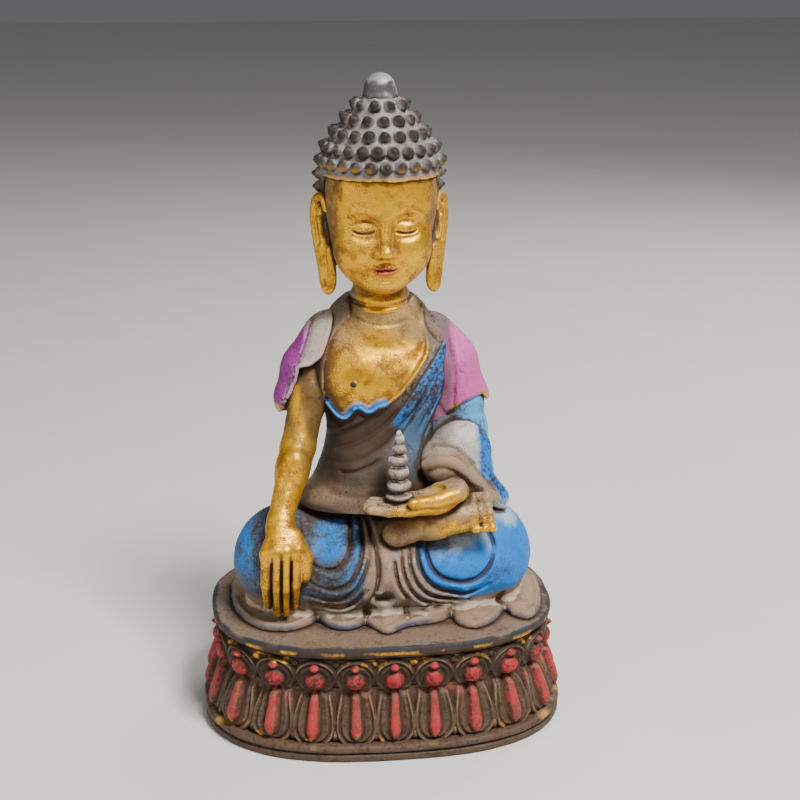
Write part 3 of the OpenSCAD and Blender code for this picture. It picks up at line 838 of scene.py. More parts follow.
def drooping(s, q, number):
    """Relief of a drooping petal: q runs from its tip at the foot (0) up to the waist (1)."""
    s = s + 0.35 * petal_wobble(number, 5) * (1 - q)
    down = 1 - q
    half = 6.15 * (0.72 + 0.28 * ramp(down, 0, 0.6))
    f = np.sqrt((s / half) ** 2 + (np.maximum(down - 0.66, 0)
                                   / (0.245 + 0.02 * petal_wobble(number, 9))) ** 2)
    body = (1.2 + 1.5 * down) * (1 - ramp(f, 0.92, 1.06)) * ramp(down, 0.0, 0.2)
    rims = 0.5 * bump_at(f - 0.86, 0.07) + 0.45 * bump_at(f - 0.62, 0.07) - 0.55 * bump_at(f - 0.74, 0.05)
    rims = rims * ramp(down, 0.02, 0.3)
    g = np.sqrt((s / (1.25 + 0.95 * down)) ** 2
                + (np.maximum(np.maximum(down - 0.63, 0.2 - down), 0) / 0.17) ** 2)
    ridge = 2.3 * np.sqrt(np.clip(1 - g ** 2, 0, 1)) - 0.3 * bump_at(g - 1.12, 0.1)
    return (body + rims) * (q > 0.0) + ridge


def make_lower_petals():
    profile = [(-7.2, 5.7), (-5.0, 6.0), (-4.2, 7.2), (-4.2, 9.3), (-4.9, 12.0), (-5.9, 15.5),
               (-6.9, 19.0), (-7.1, WAIST - 0.1)]
    back = [(-8.95, WAIST - 0.1), (-8.95, 5.75)]
    rings, local = relief_band(profile, DROOPING_ROWS, drooping, back)
    obj = ring_mesh("lower_petals", rings)
    dirt, wear = relief_look(local)

    def rosy(look, p, n):
        s, q = relief_places(DROOPING_ROWS)
        rub = noise(*p.T, 5, 3, 1)
        on = bump_at(np.clip(np.abs(s) - 0.3, 0, 9), 1.3 + 0.5 * (1 - q)) * ramp(q, 0.16, 0.3)
        on = np.clip(on * 1.5 - 0.35 + 0.35 * rub, 0, 1) * (1 - 0.6 * ramp(q, 0.72, 0.95))
        coat(look, on, tint=ROSE, under=PATINA, rub=0.31, bright=ROSE_PALE)
        pale = on * ramp(noise(*p.T, 2.2, 2, 2), 0.0, 0.8)
        coat(look, 0.3 * pale, tint=ROSE_PALE)
        blush = 0.5 * ramp(rub, 0.0, 0.9) * (1 - on)
        coat(look, blush * ramp(q, 0.4, 0.8), tint=ROSE_PALE)
        coat(look, ramp(noise(*p.T, 3, 2, 3), 0.55, 0.9) * ramp(0.35 - q, 0, 0.2), bright=GOLD, tint=GOLD,
             leaf=0.8)
    finish_piece(obj, ["lower_petals"], paint_base(dirt, wear, rosy), clay=False)


def budding(s, q, number):
    """Relief of an upright bud under the plate's rim: q runs from the waist (0) up to the rim (1)."""
    s = s + 0.25 * petal_wobble(number, 6)
    f = np.sqrt((s / 6.3) ** 2 + ((q - 0.42) / 0.60) ** 2)
    upper = ramp(q, 0.25, 0.55)
    shell = 1.1 * (1 - ramp(f, 0.9, 1.03))
    rims = (0.6 * bump_at(f - 0.88, 0.07) + 0.55 * bump_at(f - 0.64, 0.07) - 0.3
            * bump_at(f - 0.76, 0.06)) * (0.35 + 0.65 * upper)
    g = np.sqrt((s / 3.0) ** 2 + ((q - 0.33) / 0.30) ** 2)
    bud = 2.6 * np.sqrt(np.clip(1 - g ** 2, 0, 1))
    b = np.sqrt((s / 1.35) ** 2 + ((q - 0.78) / 0.13) ** 2)
    bead = 1.5 * np.sqrt(np.clip(1 - b ** 2, 0, 1))
    side = np.sqrt(((np.abs(s) - PITCH / 2) / 1.2) ** 2 + ((q - 0.86) / 0.11) ** 2)
    return shell + rims + bud + bead + 0.9 * np.sqrt(np.clip(1 - side ** 2, 0, 1))


def make_upper_petals():
    profile = [(-7.1, WAIST + 0.05), (-6.9, WAIST + 1.2), (-6.3, 25.5), (-5.7, 28.5), (-5.4, RIM_LOW - 0.1)]
    back = [(-8.95, RIM_LOW - 0.1), (-8.95, WAIST + 0.05)]
    rings, local = relief_band(profile, BUDDING_ROWS, budding, back)
    obj = ring_mesh("upper_petals", rings)
    dirt, wear = relief_look(local)
    dirt = np.clip(dirt + 0.1, 0, 1)

    def rosy(look, p, n):
        undercoat(look, tint=BASE_BROWN, under=TAUPE_DARK)
        s, q = relief_places(BUDDING_ROWS)
        g = np.sqrt((s / 3.0) ** 2 + ((q - 0.33) / 0.30) ** 2)
        b = np.sqrt((s / 1.5) ** 2 + ((q - 0.78) / 0.15) ** 2)
        rub = noise(*p.T, 4, 3, 1)
        on = np.clip((1 - ramp(np.minimum(g, b), 0.75, 1.1)) * 1.4 - 0.3 + 0.4 * rub, 0, 1)
        coat(look, on, tint=ROSE, bright=ROSE_PALE, rub=0.3)
        gold = ramp(q, 0.7, 0.9) * ramp(noise(*p.T, 2.5, 2, 3), 0.35, 0.75)
        coat(look, gold, tint=GOLD, bright=GOLD, leaf=0.9)
    finish_piece(obj, ["upper_petals"], paint_base(dirt, wear, rosy), clay=False)


def make_leaf_tips():
    """Small three-lobed leaves between the drooping petals' ends."""
    clay = Clay((-3.2, -3.4, -1.2), (3.6, 3.4, 5.0), 0.16)
    clay.add(egg((0.4, 0, 1.0), (1.3, 1.25, 1.9)))
    for side in (-1, 1):
        clay.add(egg((0.1, side * 1.35, 0.8), (0.9, 0.95, 1.0), (side * 25, 0, 0)), 0.5)
        clay.cut(bone((1.6, side * 0.75, -0.4), (1.2, side * 0.45, 2.6), 0.16, 0.1), 0.3)
    clay.add(bone((0.0, 0, 1.5), (-1.8, 0, 3.4), 1.1, 0.8), 0.6)
    points, tris, quads = clay.polygons()
    t, _ = even_angles(2 * PETALS, -DRUM_INSET)
    place = outline_var(t, np.full(2 * PETALS, -3.6))[1::2]
    away = outline_var(t, np.full(2 * PETALS, -2.6))[1::2] - place
    rng = np.random.default_rng(17)
    all_points, all_faces = [], []
    for k in range(PETALS):
        c, s = away[k]
        size = rng.uniform(0.92, 1.12)
        local = points * size
        moved = np.column_stack([place[k, 0] + c * local[:, 0] - s * local[:, 1],
                                 place[k, 1] + s * local[:, 0] + c * local[:, 1],
                                 local[:, 2] + FOOT_TOP + 1.05])
        offset = k * len(points)
        all_points.append(moved)
        all_faces += [tuple(offset + i for i in f[::-1]) for f in [*map(tuple, quads), *map(tuple, tris)]]
    obj = build_mesh("leaf_tips", np.vstack(all_points), all_faces)
    fix_normals(obj)

    def paint(look, p, n):
        undercoat(look, tint=TAUPE, under=BASE_BROWN, bright=(0.5, 0.36, 0.2), rub=0.22)
        look["dirt"] = np.clip(0.7 - 0.8 * ramp(p[:, 2], FOOT_TOP + 0.5, FOOT_TOP + 2), 0, 1)
        look["wear"] = 0.5 * ramp(p[:, 2], FOOT_TOP + 1.0, FOOT_TOP + 2.4)
    finish_piece(obj, ["leaf_tips"], paint, clay=False)


def fix_normals(obj):
    bm = bmesh.new()
    bm.from_mesh(obj.data)
    bmesh.ops.recalc_face_normals(bm, faces=bm.faces)
    bm.to_mesh(obj.data)
    bm.free()


def make_seat_plate():
    t, _ = even_angles(STEPS, -DRUM_INSET)
    edge = smooth_path([(-3.8, PLATE_LOW), (-3.2, PLATE_LOW + 0.4), (-3.0, PLATE_LOW + 1.1),
                        (-3.05, SEAT - 0.75),
                        (-3.35, SEAT - 0.2), (-4.1, SEAT)], 4)
    base = outline(t, -DRUM_INSET)
    rings = []
    hole = 3.15 * np.column_stack([np.cos(t), np.sin(t)])
    rings.append(np.column_stack([hole, np.full(STEPS, PLATE_LOW)]))
    for g, z in edge:
        rough = 0.22 * noise(base[:, 0], base[:, 1], np.full(STEPS, z), 7, 3, 1)
        rings.append(np.column_stack([outline_var(t, g + rough), np.full(STEPS, z)]))
    brim = rings[-1][:, :2]
    for share in (0.995, 0.98, 0.96, 0.94, 0.92, 0.9, 0.88, 0.86, 0.84, 0.82, 0.8, 0.75, 0.65, 0.45, 0.25):
        flat = brim * share
        z = SEAT - 0.06 + 0.05 * noise(flat[:, 0], flat[:, 1], 0 * flat[:, 0], 6, 3, 2)
        rings.append(np.column_stack([flat, np.minimum(z, SEAT)]))
    rings.append(np.column_stack([hole, np.full(STEPS, SEAT - 0.02)]))
    obj = ring_mesh("seat_plate", rings)

    def paint(look, p, n):
        undercoat(look, tint=(0.215, 0.150, 0.100), under=TAUPE, bright=CREAM, rub=0.24)
        across, deep = np.abs(p[:, 0] / (BASE_A - 3)), np.abs(p[:, 1] / (BASE_B - 3))
        size = (across ** CORNER + deep ** CORNER) ** (1 / CORNER)
        patch = noise(*p.T, 6, 3, 1)
        side = ramp(size + 0.012 * patch, 0.965, 0.99)
        coat(look, side, tint=BLUE_DARK, under=TAUPE_DARK, bright=(0.10, 0.14, 0.30), rub=0.3)
        below = ramp(p[:, 2] + 0.35 * patch, SEAT - 1.1, SEAT - 1.7)
        coat(look, below, tint=PATINA, under=GOLD_DARK, bright=GOLD, rub=0.2)
        coat(look, below * ramp(patch, 0.15, 0.5), tint=GOLD, leaf=0.9)
        mauve = (1 - side) * ramp(size, 0.80, 0.97) * ramp(patch, -0.2, 0.7)
        coat(look, 0.45 * mauve, tint=(0.20, 0.175, 0.20))
        look["dirt"] = np.clip(look["dirt"] * 0.9 + 0.30 * side + 0.12 * ramp(patch, 0.1, 0.8), 0, 1)
        look["wear"] = np.clip(look["wear"] * (1 - side) + 0.4 * ramp(size, 0.955, 0.98) * (1 - side), 0, 1)
    finish_piece(obj, ["seat_plate"], paint, clay=False)


# ---- Legs and skirt, one draped form ----

KNEE = (29, -6, 53)
HEM = [(-47.6, 4), (-47.8, -1), (-46.6, -11), (-43, -20), (-38.2, -25.6), (-30.7, -26.9), (-25, -23.8),
       (-21.8, -20.4),
       (-21.2, -21.0), (-19.1, -25.1), (-15.5, -28.3), (-10.8, -27.6), (-8.0, -25.4), (-7.2, -25.2),
       (-4.8, -28.6), (-2.2, -32.4),
       (1.0, -31.7), (5.4, -28.2), (9.5, -27.2), (15, -25.8), (19.4, -22.6), (20.0, -23.2), (21, -28.2),
       (25.7, -31.7),
       (31.7, -28.2), (36.6, -20.4), (37.6, -20.2), (38.8, -23.6), (42.9, -26.7), (46.9, -22.6),
       (49.4, -14.8),
       (51.0, -5), (51.0, 8), (46, 20), (34, 28), (16, 31), (-6, 31.5), (-28, 29.5), (-42, 22), (-47, 12)]
PLEAT = [(3.6, -19), (8.4, -22.3), (11.9, -25.4), (15.9, -24.9), (19.9, -21.4), (22, -16), (8, -10)]


def make_lower_robe():
    clay = new_clay((-54, -37, SEAT - 0.6), (55, 35, LAP + 2.5), GRAIN)
    kx, ky, kz = KNEE
    for s in (-1, 1):
        clay.add(bone((s * kx, ky, kz), (s * 9, 8, kz), 16.8, 16), 3)
        clay.add(egg((s * (kx + 1), ky - 1, kz - 1.5), (16.6, 17, 15.4)), 3)
    clay.add(bone((-23, -14, 49), (23, -14, 49), 10.6, 10.6), 5)
    clay.add(bone((-12, -16, 51), (8, -16, 51), 11.6, 11.6), 5)
    clay.add(egg((0, 0, 57), (24, 17, 12.4)), 5)
    clay.add(egg((0, 16, 50), (30, 13, 15)), 6)
    inner = Shape((-54, -37, SEAT), (55, 35, 44), skirt_dist)
    clay.add(inner, 5)
    # the pleat that folds over the hem in front
    clay.add(Shape((0, -30, SEAT), (26, -8, 44), lambda x, y, z: np.maximum(
        -inside(PLEAT, x, y) + 0 * z, z - (SEAT + 3.4 + 0.32 * np.maximum(y + 25, 0)))), 1.0)
    clay.keep(lambda x, y, z: SEAT + 0.02 - z)
    clay.keep(lambda x, y, z: z - (LAP - 0.02) + 0 * x)
    knee_folds(clay)
    clay.rough(5, 0.13, 1)
    clay.rough(1.6, 0.05, 2)
    clay.keep(lambda x, y, z: SEAT + 0.02 - z)
    obj = clay_mesh("lower_robe", clay)
    finish_piece(obj, ["legs", "skirt"], paint_lower_robe)
    return clay


def skirt_dist(x, y, z):
    d = inside(HEM, x, y)
    lift = 1.5 + 0.6 * ramp(d, 0.0, 1.5) + 2.0 * ramp(d, 1, 10)
    lift = lift + 0.5 * np.exp(-((d - 1.0) / 0.9) ** 2)
    return np.maximum(z - SEAT - lift, -d + 0 * z)


# Fold lines over the knees as seen from the front: (x, z) points
LEFT_PATCH = [(-26.2, 67.5), (-26.6, 62), (-24.5, 57.4), (-20.5, 54.9), (-16, 55.4), (-12.6, 58.6),
              (-10.8, 63), (-10.4, 68.5)]
LEFT_SECOND = [(-29, 57), (-24, 51.2), (-18.5, 48.8), (-13, 50.6), (-9.4, 55.6), (-7.6, 61), (-7.2, 68)]
LEFT_THIRD = [(-27, 47.6), (-20, 45.2), (-14, 46.2), (-9.6, 50.4), (-6.6, 57), (-5.4, 64)]
LEFT_FOURTH = [(-24, 43.4), (-16.5, 42.2), (-10.8, 44.6), (-7.4, 49.4)]
RIGHT_PATCH = [(12.2, 62.5), (11.8, 58), (13.6, 53.6), (17.6, 50.2), (22.8, 49.0), (28, 50.4),
               (31.6, 54.0), (32.8, 58.6), (31.4, 63), (28, 66.4)]
RIGHT_SECOND = [(9.4, 62.4), (8.8, 57), (11.2, 51.4), (15.6, 47.2), (21.2, 45.2), (27, 45.6), (32, 48)]
RIGHT_THIRD = [(6.6, 61), (6.4, 55.6), (8.8, 49.8), (13.2, 45.4), (19, 43.0), (25, 42.6)]
RIGHT_FOURTH = [(4.0, 60), (4.2, 54.4), (6.4, 48.6), (10.4, 44.2), (15, 41.8)]
RIGHT_FIFTH = [(1.6, 58), (2.0, 53), (3.6, 48.4), (6.6, 44.6)]
FLAP = [(-6.4, 69.4), (-4.8, 64), (-3.6, 58.6), (-3.4, 53), (-4.6, 47.4), (-6.6, 43.6)]


BLUE_EDGE = RIGHT_SECOND[:4] + [(20.6, 44.8), (27, 43.6), (34, 43.4), (42, 44.5), (50, 49)]


def knee_folds(clay):
    front = dict(lo=(-99, -99, SEAT + 0.4), hi=(99, -8, 999))
    for line, depth in ((LEFT_PATCH, 1.3), (LEFT_SECOND, 1.2), (LEFT_THIRD, 1.1), (LEFT_FOURTH, 0.8),
                        (RIGHT_PATCH, 1.5), (RIGHT_SECOND, 1.5), (RIGHT_THIRD, 1.5), (RIGHT_FOURTH, 1.4),
                        (RIGHT_FIFTH, 1.1)):
        clay.crease(line, depth, 0.7, **front)
        outer = [(x, z - 1.7) if 3 < k < len(line) - 2 else (x + (1.3 if x < 0 else -1.3), z - 0.9)
                 for k, (x, z) in enumerate(line)]
        clay.crease(outer, -0.7, 0.9, **front)
    clay.crease(FLAP, 1.1, 0.7, **front)
    clay.crease([(x + 1.6, z) for x, z in FLAP], -0.7, 1.0, **front)
    clay.crease([(-1.6, 66), (-0.6, 60), (-0.6, 54), (-1.4, 49)], -0.6, 1.2, **front)
    clay.cut(egg((-1.6, -25.5, 45.6), (3.0, 3.2, 2.2), (0, 0, -15)), 1.5)
    # pleats that run out over the skirt to the notches of the hem
    floor = dict(plane="xy", lo=(-99, -99, SEAT), hi=(99, 99, 46), fade=0.25)
    for line, depth in (([(-13, -17), (-17.5, -18.5), (-21.2, -20.4)], 0.8),
                        ([(-4, -18), (-6.2, -21.5), (-7.6, -25.0)], 0.9),
                        ([(31, -14), (34.5, -17), (37.2, -20)], 0.9),
                        ([(5, -18), (5.6, -23), (5.4, -28)], 0.6),
                        ([(-33, -14), (-40, -18)], 0.4)):
        clay.crease(line, depth, 1.2, **floor)
    for line, height in (([(-12, -20), (-15.6, -25.4)], 0.5), ([(-1.6, -24), (-2.0, -30)], 0.45),
                         ([(22, -20), (25.4, -28.6)], 0.6),
                         ([(38, -15), (42, -22)], 0.5), ([(-30, -19), (-36, -22)], 0.3)):
        clay.crease(line, -height, 1.8, **floor)
    # low folds on the flanks and the back
    for s in (-1, 1):
        for k in range(4):
            z = 66 - 6 * k
            clay.crease([(s * (15 + 2 * k), z + 2), (s * (27 + 2 * k), z - 4), (s * (36 + k), z - 12)],
                        0.6, 1.0,
                        lo=(-99, 2, SEAT + 1), hi=(99, 99, 999), fade=0.3)
            clay.crease([(2 - 2 * k, z), (10 + 3 * k, z - 7), (20 + 4 * k, z - 11)], 0.5, 1.1, plane="yz",
                        lo=(s * 60 if s < 0 else 28, -99, SEAT + 1), hi=(-28 if s < 0 else 60, 99, 999),
                        fade=0.3)


def paint_lower_robe(look, p, n):
    x, y, z = p.T
    patch, streak = noise(x, y, z, 6, 3, 1), noise(x, y, z, 2.2, 3, 2)
    hem = ramp(z - 0.05 * np.abs(x), 43.6, 39.8)
    undercoat(look, tint=BLUE, under=(0.055, 0.105, 0.135), bright=BLUE_PALE, rub=0.30)
    coat(look, ramp(x, 8, 14) * ramp(y, -2, -6), rub=0.17, under=BLUE_DARK)
    # the blue is bright on the crowns of the folds and has gone dark and bare elsewhere
    front = ramp(y, -2, -6)
    left, right = inside(LEFT_PATCH, x, z), inside(RIGHT_PATCH, x, z)
    second = path_side(LEFT_SECOND, x, z)
    bright = ramp(left, 0.5, 2.5) * ramp(x + 1.5 * patch, -23, -19) * ramp(z + patch, 56.5, 59.5)
    bright = bright + bump_at(second - 1.9, 1.0) * ramp(x + patch, -16, -11)
    bright = bright + bump_at(second + 1.8, 0.9) * ramp(x + 2 * patch, -13, -10)
    bright = bright + ramp(-x + patch, 40.5, 42.5) * ramp(z, 50, 54)
    bright = bright + ramp(y, -8, 2) * ramp(patch, -0.5, 0.5)
    bare = ramp(-x, -2, 3) * (1 - np.clip(bright, 0, 1))
    coat(look, 0.86 * bare, tint=(0.070, 0.088, 0.098), under=TAUPE_DARK, bright=(0.28, 0.30, 0.30))
    rim_left = bump_at(left - 0.6, 1.2) + bump_at(second - 0.2, 0.8)
    coat(look, 0.6 * np.clip(rim_left, 0, 1) * front * (x < 0) * ramp(x, -30, -24), tint=TAUPE)
    # painted highlight: pale grey-white over the top of the right knee
    pale = ramp(right, -0.5, 2) * front * ramp(z + 2.5 * patch - 0.12 * (x - 22), 57, 62)
    coat(look, 0.85 * pale, tint=(0.40, 0.45, 0.50), bright=WHITE)
    # painted highlight on the top right of the right knee
    top_right_highlight = front * ramp(x, 24, 30) * ramp(z + 2 * patch, 63, 67)
    coat(look, 0.7 * top_right_highlight, tint=(0.50, 0.55, 0.62), bright=WHITE)
    middle = ramp(np.abs(x + 1.0), 8.0, 5.6) * front
    coat(look, 0.95 * middle, tint=CREAM, under=TAUPE_DARK, bright=WHITE, rub=0.2)
    below = front * ramp(x, 2, 6) * ramp(-path_side(BLUE_EDGE, x, z), -0.2, 0.9)
    coat(look, 0.92 * below, tint=CREAM, under=TAUPE, bright=WHITE, rub=0.2)
    low_left = front * ramp(-x, 4, 6) * ramp(z, 47.0, 44.0)
    coat(look, 0.85 * low_left, tint=TAUPE, under=TAUPE_DARK, bright=CREAM, rub=0.2)
    coat(look, hem, tint=CREAM, under=TAUPE, bright=WHITE, rub=0.14)
    edge = np.abs(inside(HEM, x, y))
    line = ramp(edge, 1.3, 0.5) * ramp(z, SEAT + 2.4, SEAT + 1.4)
    coat(look, line * ramp(patch, -0.5, 0.4), tint=(0.10, 0.10, 0.16), bright=(0.30, 0.33, 0.50))
    lap = ramp(z, LAP - 5, LAP - 1.5) * ramp(np.abs(x + 2), 26, 16) * ramp(y, -22, -14)
    coat(look, lap, tint=TAUPE, under=TAUPE_DARK, bright=CREAM)
    look["dirt"] = np.clip(look["dirt"] * (1 - 0.45 * np.maximum(hem, 0.8 * below)) + 0.10 * streak
                           * ramp(z, 44, 50), 0, 1)


# ---- Torso ----

LAPEL = [(12.8, 131), (12.6, 126), (13.5, 121.6), (13.2, 118.4), (10.8, 115), (7.6, 111), (4.7, 107.6),
         (1.4, 104.4),
         (-2.5, 101.4), (-7.3, 98.1), (-13.2, 94.6), (-18, 92)]
LAPEL_OUT = [(20.2, 124), (18, 119.6), (14.9, 116), (11, 111.2), (7.7, 106.4), (4.1, 100.7), (1.1, 96.9),
             (-5, 92.5),
             (-9.9, 89.9), (-14.5, 87.8), (-18, 86.6)]
SCALLOP = [(-17.4, 103.6), (-15.4, 100.5), (-13.8, 99.0), (-11.8, 98.7), (-10.3, 100.1), (-9.4, 102.0),
           (-7.4, 102.8),
           (-5.6, 101.4), (-3.7, 101.8), (-1.9, 103.3), (0.4, 103.8)]
SKIN = ([(-9.5, 142), (-9.7, 129.4), (-13.9, 125.2), (-16.5, 120.6), (-18.2, 113.6), (-18.4, 108)] + SCALLOP
        + LAPEL[6::-1] + [(12, 142)])
CREASE_LOW = [(-14.5, 81.8), (-10.2, 82.4), (-4.8, 84.4), (-1, 87)]


def make_torso():
    clay = new_clay((-26, -18, LAP - 0.6), (26, 19, COLLAR + 6.5), GRAIN * 0.9)
    clay.add(loft([(LAP - 1, 23.5, 17, 0, 0), (74, 22, 16.6, 0, 0), (80, 19.6, 15.2, 0, 0.5),
                   (87, 17.4, 13.8, 0, 1),
                   (93.4, 16.7, 13.2, 0, 1), (100, 17.8, 13.6, 0, 1.2), (107, 19.8, 13.6, 0, 1.5),
                   (113, 21.2, 12.8, 0, 2),
                   (118, 22.2, 12.2, 0, 1.9), (122.5, 20.4, 11.8, 0, 1.6), (126.5, 16, 11.2, 0, 1.0),
                   (131, 12, 10.2, 0, 0.2),
                   (134.5, 10, 9, 0, 0)]))
    clay.add(egg((-17, -6, 72.6), (10, 9, 4.6)), 4)
    clay.add(egg((14, -4, 73), (12, 9, 5)), 4)
    clay.add(egg((0, 4.5, 127.5), (15, 9.2, 7.6)), 4)
    for s in (-1, 1):
        clay.add(egg((s * 7.4, -5.6, 110), (10.5, 7.6, 9.6)), 7)
    clay.add(egg((0, -8.5, 80), (14, 8, 10)), 5)
    # the skin lies under the layers of cloth
    depth = Shape((-20, -19, 98), (16, 4, 138), lambda x, y, z: 0 * x)
    w, x, y, z = clay.window(depth.lo, depth.hi, 0)
    hollow = ramp(inside(SKIN, x, z, False), -0.35, 0.35) * ramp(y, 3, -2)
    clay.d[w] = clay.d[w] + 1.1 * hollow
    front = dict(lo=(-99, -99, 0), hi=(99, 1, 999))
    clay.crease(LAPEL, -0.75, 0.75, **front)
    clay.crease([(x + 0.9, z - 1.5) for x, z in LAPEL], 0.35, 0.8, **front)
    clay.lip(LAPEL_OUT, 1.3, 0.7, 9, **front)
    clay.crease(LAPEL_OUT, 0.6, 0.6, **front)
    clay.crease(SCALLOP, -1.3, 0.7, fade=0.03, **front)
    clay.crease([(x, z - 2.0) for x, z in SCALLOP], 1.1, 1.0, **front)
    for start, end in (((20.8, 119), (10, 92)), ((21.2, 118), (13.5, 96)), ((18.5, 115.5), (6.5, 95)),
                       ((16, 113), (3.6, 95)),
                       ((21.6, 115), (16.5, 95)), ((14, 110.6), (2, 92)), ((20.6, 110), (12, 90)),
                       ((11, 105), (3, 90))):
        mid = ((start[0] + end[0]) / 2 + 1.0, (start[1] + end[1]) / 2 - 0.8)
        clay.crease([start, mid, end], 0.75, 0.55, **front)
    clay.crease([(-17.5, 84.6), (-12, 85), (-6, 87), (1, 91), (6, 95)], 0.5, 0.8, **front)
    clay.crease(CREASE_LOW, 1.0, 0.6, **front)
    clay.crease([(-20, 77), (-10, 74.5), (2, 74.6), (12, 76)], 0.5, 1.2, **front)
    # neck creases and collar
    clay.crease([(-8, 129.6), (-3, 127.4), (3, 127.2), (8, 128.6)], 0.6, 0.7, **front)
    clay.crease([(13.3, 130), (13.5, 126.4), (15.3, 123.2), (17.2, 120.8)], 0.9, 0.5, **front)
    clay.crease([(19.6, 128), (20.2, 124), (17.7, 119.6)], 0.6, 0.6, **front)
    nipple = (-9.4, 0, 109.8)
    ny = front_y(clay, nipple[0], nipple[2])
    clay.add(egg((nipple[0], ny - 0.1, nipple[2]), (0.95, 0.8, 0.95)), 0.3)
    back_folds(clay)
    clay.keep(lambda x, y, z: LAP + 0.02 - z)
    clay.keep(lambda x, y, z: z - (COLLAR + 3.4 + 0.12 * y) + 0 * x)
    clay.rough(4.5, 0.12, 1)
    clay.rough(1.5, 0.05, 2)
    obj = clay_mesh("torso", clay)
    finish_piece(obj, ["torso"], paint_torso)
    return clay


def back_folds(clay):
    """Cloth drawn across the back, from the left shoulder to the right hip."""
    back = dict(lo=(-99, 4, 0), hi=(99, 99, 999), fade=0.2)
    for k in range(6):
        line = [(15 - 4.2 * k, 124 - 1.5 * k), (5 - 3.4 * k, 107 - 3.6 * k), (-11 - k, 93 - 5.5 * k)]
        clay.crease(line, 1.2, 1.1, **back)
        clay.crease([(x + 1.6, z + 1.6) for x, z in line], -0.6, 1.3, **back)
    clay.crease([(17, 112), (10, 96), (-4, 80), (-18, 73)], 1.3, 1.2, **back)
    clay.crease([(18, 100), (14, 88), (6, 78), (-4, 72)], 1.2, 1.2, **back)
    clay.crease([(19, 88), (17, 80), (12, 73)], 1.0, 1.1, **back)
    clay.lip([(-18, 122), (-8, 127), (6, 128), (14, 125)], 0.8, 0.8, 6, **back)


def front_y(clay, x, z):
    """Where the front of the clay is at (x, z)."""
    column = np.array([[x, y, z] for y in clay.axes[1]])
    d = clay.sample(column)
    k = int(np.argmax(d < 0))
    a, b = d[k - 1], d[k]
    return clay.axes[1][k - 1] + clay.step * a / (a - b)


def paint_torso(look, p, n):
    x, y, z = p.T
    patch, streak = noise(x, y, z, 6, 3, 1), noise(x, y, z, 1.8, 3, 2)
    front = ramp(y, 2.5, -1.5)
    undercoat(look, tint=(0.050, 0.030, 0.018), under=TAUPE_DARK, bright=TAUPE, rub=0.2)
    coat(look, ramp(z + 2 * patch - 0.5 * x, 91, 84), tint=(0.080, 0.058, 0.043))
    coat(look, ramp(z + 2 * patch, 79, 75), tint=(0.165, 0.112, 0.072), bright=CREAM)
    skin = ramp(inside(SKIN, x, z, False), -0.3, 0.4) * front
    band = front * ramp(path_side(LAPEL, x, z), 0.0,
                        0.5) * (1 - ramp(path_side(LAPEL_OUT, x, z), -0.4, 0.4)) * ramp(x, -14, -6)
    blue = ramp(y, 9, 5) * ramp(path_side(LAPEL_OUT, x, z), 0.0, 0.8) * ramp(x + 1.5 * patch, 0.5,
                                                                             6) * ramp(z, 78, 90)
    fade = np.clip(1.45 - 0.042 * (122 - z) + 0.35 * patch + 0.3 * streak, 0.1, 1)
    coat(look, blue, tint=(0.075, 0.12, 0.15), under=TAUPE_DARK, bright=BLUE)
    coat(look, blue * np.clip(fade * 1.2, 0, 1), tint=BLUE, bright=BLUE_PALE, rub=0.33)
    grey = ramp(z + 0.5 * patch, 100, 110)
    coat(look, band * grey, tint=(0.25, 0.20, 0.165), under=TAUPE_DARK, bright=WHITE, rub=0.30)
    shawl = ramp(z, 119, 122) * (1 - skin)
    coat(look, shawl, tint=(0.20, 0.142, 0.098), under=TAUPE_DARK, bright=CREAM, rub=0.2)
    d_lapel = np.abs(path_side(LAPEL, x, z))
    gold_edge = front * ramp(d_lapel, 1.0, 0.5) * ramp(z, 100, 104) * ramp(z, 122, 118)
    coat(look, gold_edge, **GILT)
    coat(look, skin, **GILT)
    d_scallop, _, _ = path_distance(smooth_path(SCALLOP), x, z)
    trim = front * ramp(d_scallop, 1.15, 0.8)
    coat(look, trim, tint=BLUE, under=BLUE_DARK, bright=BLUE_PALE, leaf=0, rub=0.05)
    rim = front * bump_at(path_side(SCALLOP, x, z) - 1.3, 0.4) * ramp(x, 1.5, 0)
    coat(look, rim, tint=WHITE, leaf=0, rub=0.1)
    hollow = front * bump_at(path_side(SCALLOP, x, z) + 2.6, 1.4) * ramp(x, 1.5, -0.5)
    coat(look, hollow, tint=PATINA, rub=0.1)
    taupe_skin = skin * ramp(z + 3 * patch + 0.45 * np.abs(x), 121, 130)
    coat(look, 0.8 * taupe_skin, tint=(0.36, 0.245, 0.13), leaf=0.3)
    # painted shade on the viewer's left flank of the bare skin, and dirt with painted shade towards the
    # skin's edge
    flank = skin * ramp(-x, 12.5, 17)
    rimward = skin * ramp(inside(SKIN, x, z, False) + 1.2 * patch, 5.5, 0.5)
    look["dirt"] = np.clip(look["dirt"] + 0.35 * flank + 0.30 * rimward + 0.12 * skin
                           * ramp(patch, -0.2, 0.8), 0, 1)
    spot = np.sqrt((x + 9.4) ** 2 + (z - 109.8) ** 2)
    coat(look, front * ramp(spot, 1.15, 0.8), tint=(0.03, 0.03, 0.035), leaf=0, wear=0.0, rub=0)


def path_side(points, u, v):
    """Signed distance to a path, positive on its left."""
    d, side, _ = path_distance(smooth_path(points), u, v)
    return d * side


# ---- Right shoulder, arm and hand ----

FLAP_EDGE = [(-14.6, 129.5), (-16.1, 124.7), (-18.7, 117.8), (-21.8, 114.9), (-25.4, 113.6)]
FLAP_BACK = [(-25.4, 113.6), (-24.6, 116), (-23.0, 119.9), (-21.3, 125.0), (-18.4, 129)]
STRIPE = [(-25.4, 113.6), (-26.9, 108.4), (-28.9, 104.1), (-31.2, 98.6)]


